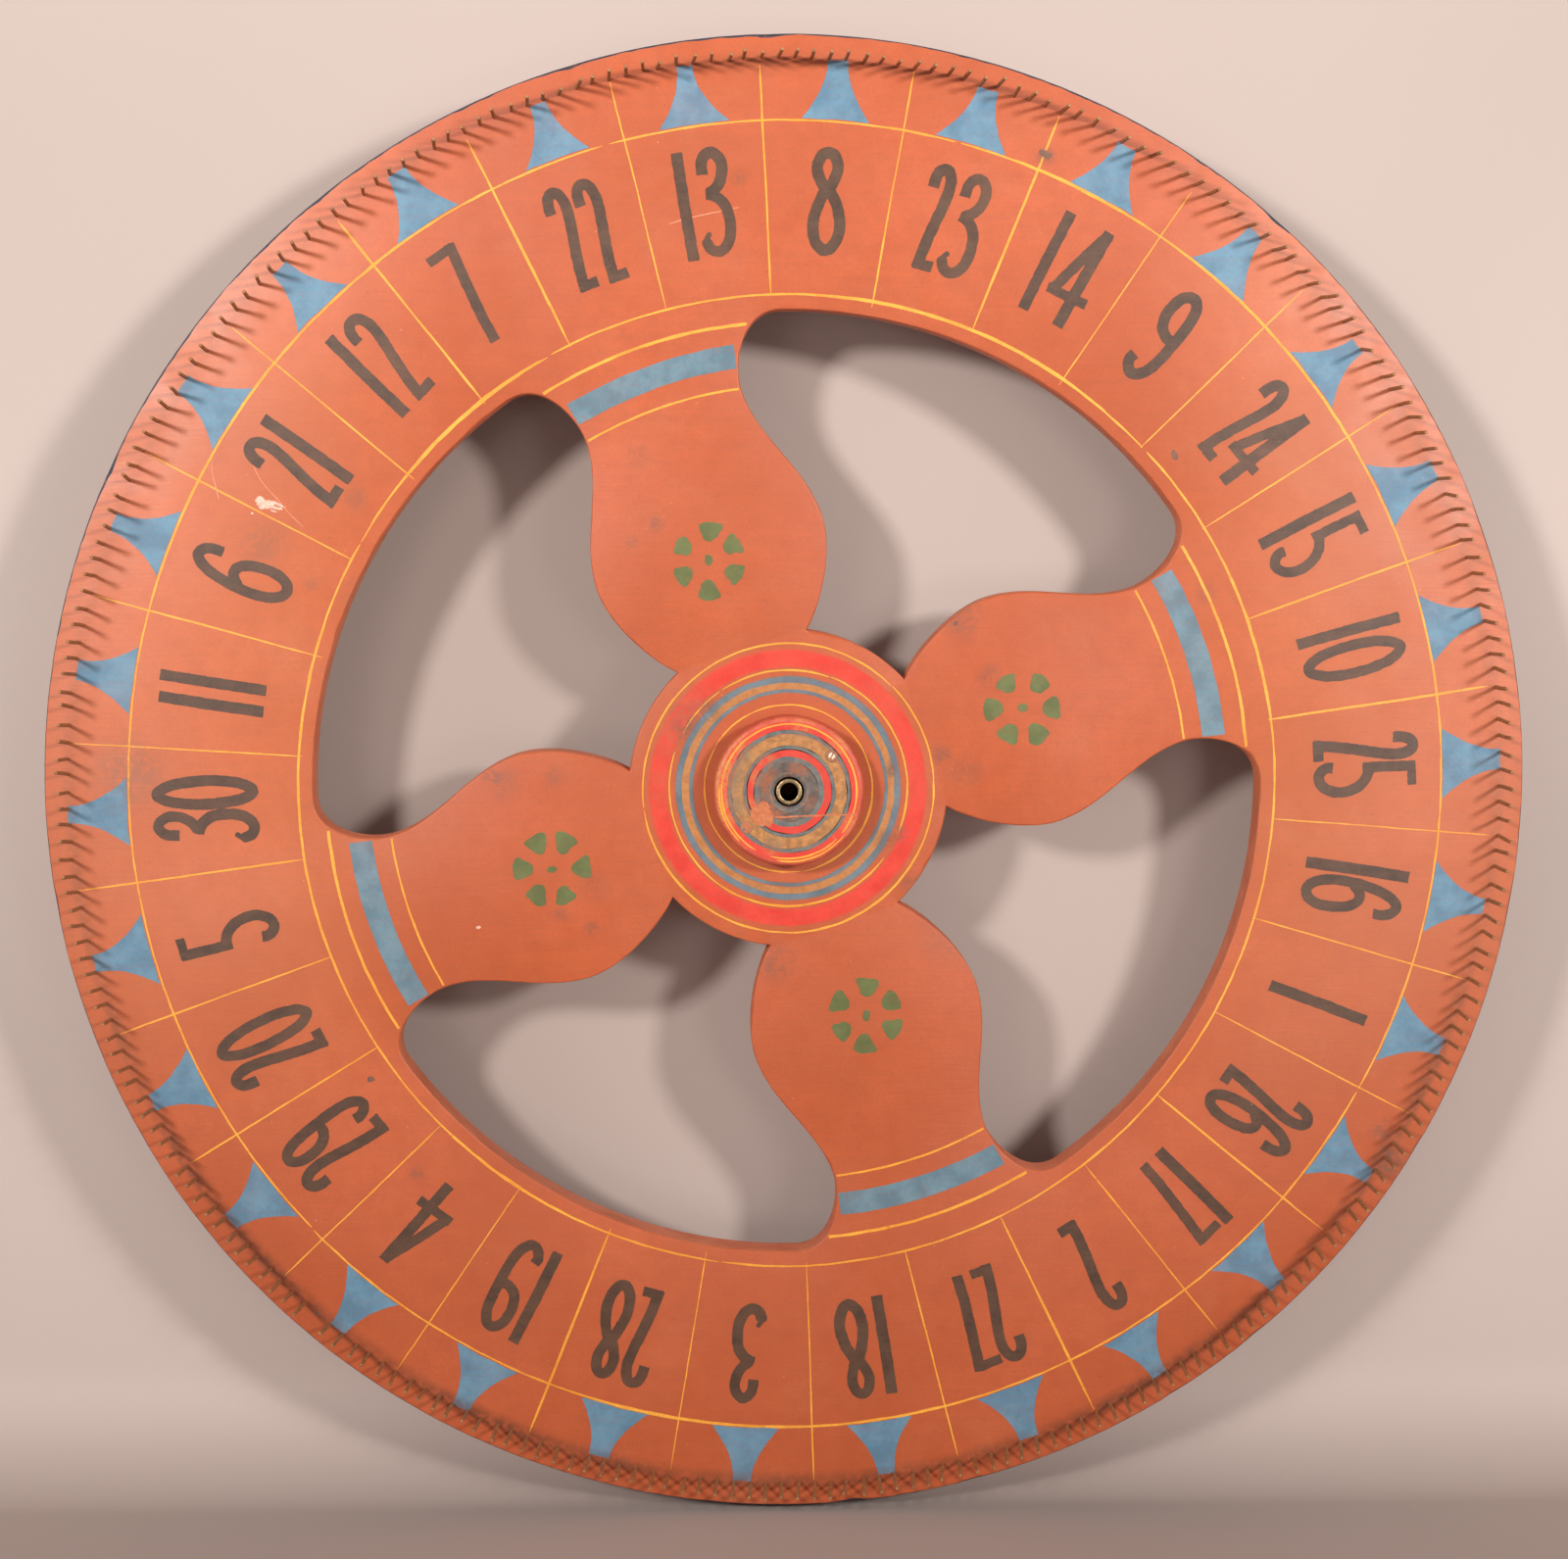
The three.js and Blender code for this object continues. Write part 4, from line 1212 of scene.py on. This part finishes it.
# ---- Marks of use ----
chips = Plates()
for x, y, width, height, angle, seed in (
        (-319.5, 175.4, 12, 6.5, -12, 421), (-311.5, 175.2, 9, 1.7, -24, 422),
        (-311.5, 172.6, 7, 1.6, -10, 423), (-314, 170.9, 4, 1.2, -15, 424),
        (-192, -86, 2.6, 2.0, 0, 425), (-327, 169.5, 2.0, 1.2, 0, 426)):
    chips.blob(x, y, width, height, angle, seed, 0.35, high=0.13 + 0.02 * (seed - 420))
chips.piece("chips_bare", CHIP, "board_paint")
scratches = Plates()
for number, scrape in enumerate((
        [(-327.1, 202), (-323.5, 193.5), (-318.9, 186.3), (-311, 177.5), (-304.1, 169),
         (-296.2, 161.4)],
        [(-350.6, 206.3), (-350.8, 198), (-350, 191.0), (-347, 178.5)],
        [(-72, 344), (-60, 347.5), (-46, 350.6), (-30, 354)])):
    scrape = [tuple(p) for p in along_curve(scrape)]
    scratches.line(scrape, [0.3] * len(scrape), 430 + number, 0.12, high=0.12)
scratches.piece("scratches_pale", SCRATCH, "board_paint")
stains = Plates()
# The last blob lies over the empty nail hole: painted shade where the hole would be, as the board
# has no hole.
for x, y, width, height, angle, seed in (
        (156, 386, 8, 5, -20, 411), (237, 205, 3.5, 6, 15, 412), (-260, -181, 4.5, 3.5, 0, 413),
        (103, 102, 3, 2.5, 0, 414), (*hole, 2.4, 2.4, 0, 415)):
    stains.blob(x, y, width, height, angle, seed, 0.35)
stains.piece("stains_and_hole_shade", STAIN, "board_paint")


# ---- Floor, backdrop, light and camera ----
def backdrop_material():
    """Warm grey paper with painted shade and shadow on it. Seen from behind it is clear, so that
    it hides nothing.
    """
    paint = Paint("backdrop")
    tone = paint.mix(paint.patches((600, 2, 0.5), 0.3, 0.7), (190, 174, 166), (196, 179, 171))
    # Painted shade: darker at the foot of the sweep and towards the top.
    height = paint.along("Z")
    tone = paint.mix(paint.span(height, -0.40, -0.46, 0, 0.3), tone, (120, 100, 92))
    tone = paint.mix(paint.span(height, 0.0, 0.5, 0, 0.3), tone, (138, 122, 115))
    # Painted shadow of the wheel on the paper behind it, deeper on the left.
    behind = paint.span(paint.radius(), 470, 300)
    across = paint.along("X")
    deep = paint.times(behind, paint.span(across, 0.03, -0.2, 0.2, 0.46))
    tone = paint.mix(deep, tone, (138, 120, 110))
    # Painted shadow, nearly black, on the paper behind the hub.
    tone = paint.mix(paint.span(paint.radius(), 80, 25, 0.0, 0.95), tone, (30, 24, 22))
    shader = paint.node("BsdfDiffuse", {"Color": tone})
    clear = paint.node("BsdfTransparent")
    side = paint.node("NewGeometry").outputs["Backfacing"]
    both = paint.node("MixShader", {0: side, 1: shader.outputs[0], 2: clear.outputs[0]})
    paint.node("OutputMaterial", {"Surface": both.outputs[0]})
    return paint.material


def make_backdrop():
    """A sweep of paper: floor, a soft curve behind the wheel, and the wall."""
    floor, wall, bend = -0.462, 0.07, 0.075
    profile = [(-6.0, floor), (-1.0, floor)]
    for i in range(17):
        a = math.radians(90 * i / 16)
        profile.append((wall - bend + bend * math.sin(a), floor + bend - bend * math.cos(a)))
    profile.append((wall, 5.0))
    verts = [(x, y, z) for y, z in profile for x in (-6.0, 6.0)]
    faces = [(2 * i, 2 * i + 1, 2 * i + 3, 2 * i + 2) for i in range(len(profile) - 1)]
    mesh = bpy.data.meshes.new("backdrop")
    mesh.from_pydata(verts, [], faces)
    mesh.polygons.foreach_set("use_smooth", [True] * len(faces))
    mesh.materials.append(backdrop_material())
    mesh.update()
    obj = bpy.data.objects.new("backdrop", mesh)
    scene.collection.objects.link(obj)


make_backdrop()

KEY_COLOUR, KEY_SPREAD, SIDE_SPREAD = (1.0, 0.985, 0.97), 72, 50
WHITE, WIDE = (1, 1, 1), 180
# Name, place, size, power, colour, what it is aimed at, spread in degrees.
for name, place, size, power, colour, aim, spread in (
        ("key_left", (-1.7, -2.5, 0.95), 0.42, 14.2, KEY_COLOUR, (-0.4, 0, 0.66), KEY_SPREAD),
        ("key_right", (1.9, -2.5, 0.85), 0.42, 13.6, KEY_COLOUR, (0.4, 0, 0.62), KEY_SPREAD),
        ("side_left", (-1.1, -2.5, -0.2), 0.7, 0.7, WHITE, (-0.6, 0, 0), SIDE_SPREAD),
        ("side_right", (1.1, -2.5, -0.15), 0.7, 1.0, WHITE, (0.6, 0, 0), SIDE_SPREAD),
        ("rear_fill", (0.6, 3.0, 1.8), 1.5, 30, WHITE, (0, 0, 0), WIDE)):
    light = bpy.data.lights.new(name, "AREA")
    light.shape, light.size, light.energy, light.color = "DISK", size, power, colour
    light.spread = math.radians(spread)
    obj = bpy.data.objects.new(name, light)
    obj.location = place
    obj.rotation_euler = (Vector(aim) - Vector(place)).to_track_quat("-Z", "Y").to_euler()
    scene.collection.objects.link(obj)

world = bpy.data.worlds.new("studio")
scene.world = world
world.use_nodes = True
background = world.node_tree.nodes["Background"]
background.inputs["Color"].default_value = (1.0, 0.95, 0.92, 1)
background.inputs["Strength"].default_value = 0.35

camera = bpy.data.cameras.new("camera")
camera.lens, camera.sensor_width = 63, 36
view = bpy.data.objects.new("camera", camera)
view.location = (-0.0445, -1.699, 0.173)
view.rotation_euler = (math.radians(90 - 5.66), 0, math.radians(-1.42))
scene.collection.objects.link(view)
scene.camera = view
scene.view_settings.view_transform = "Standard"
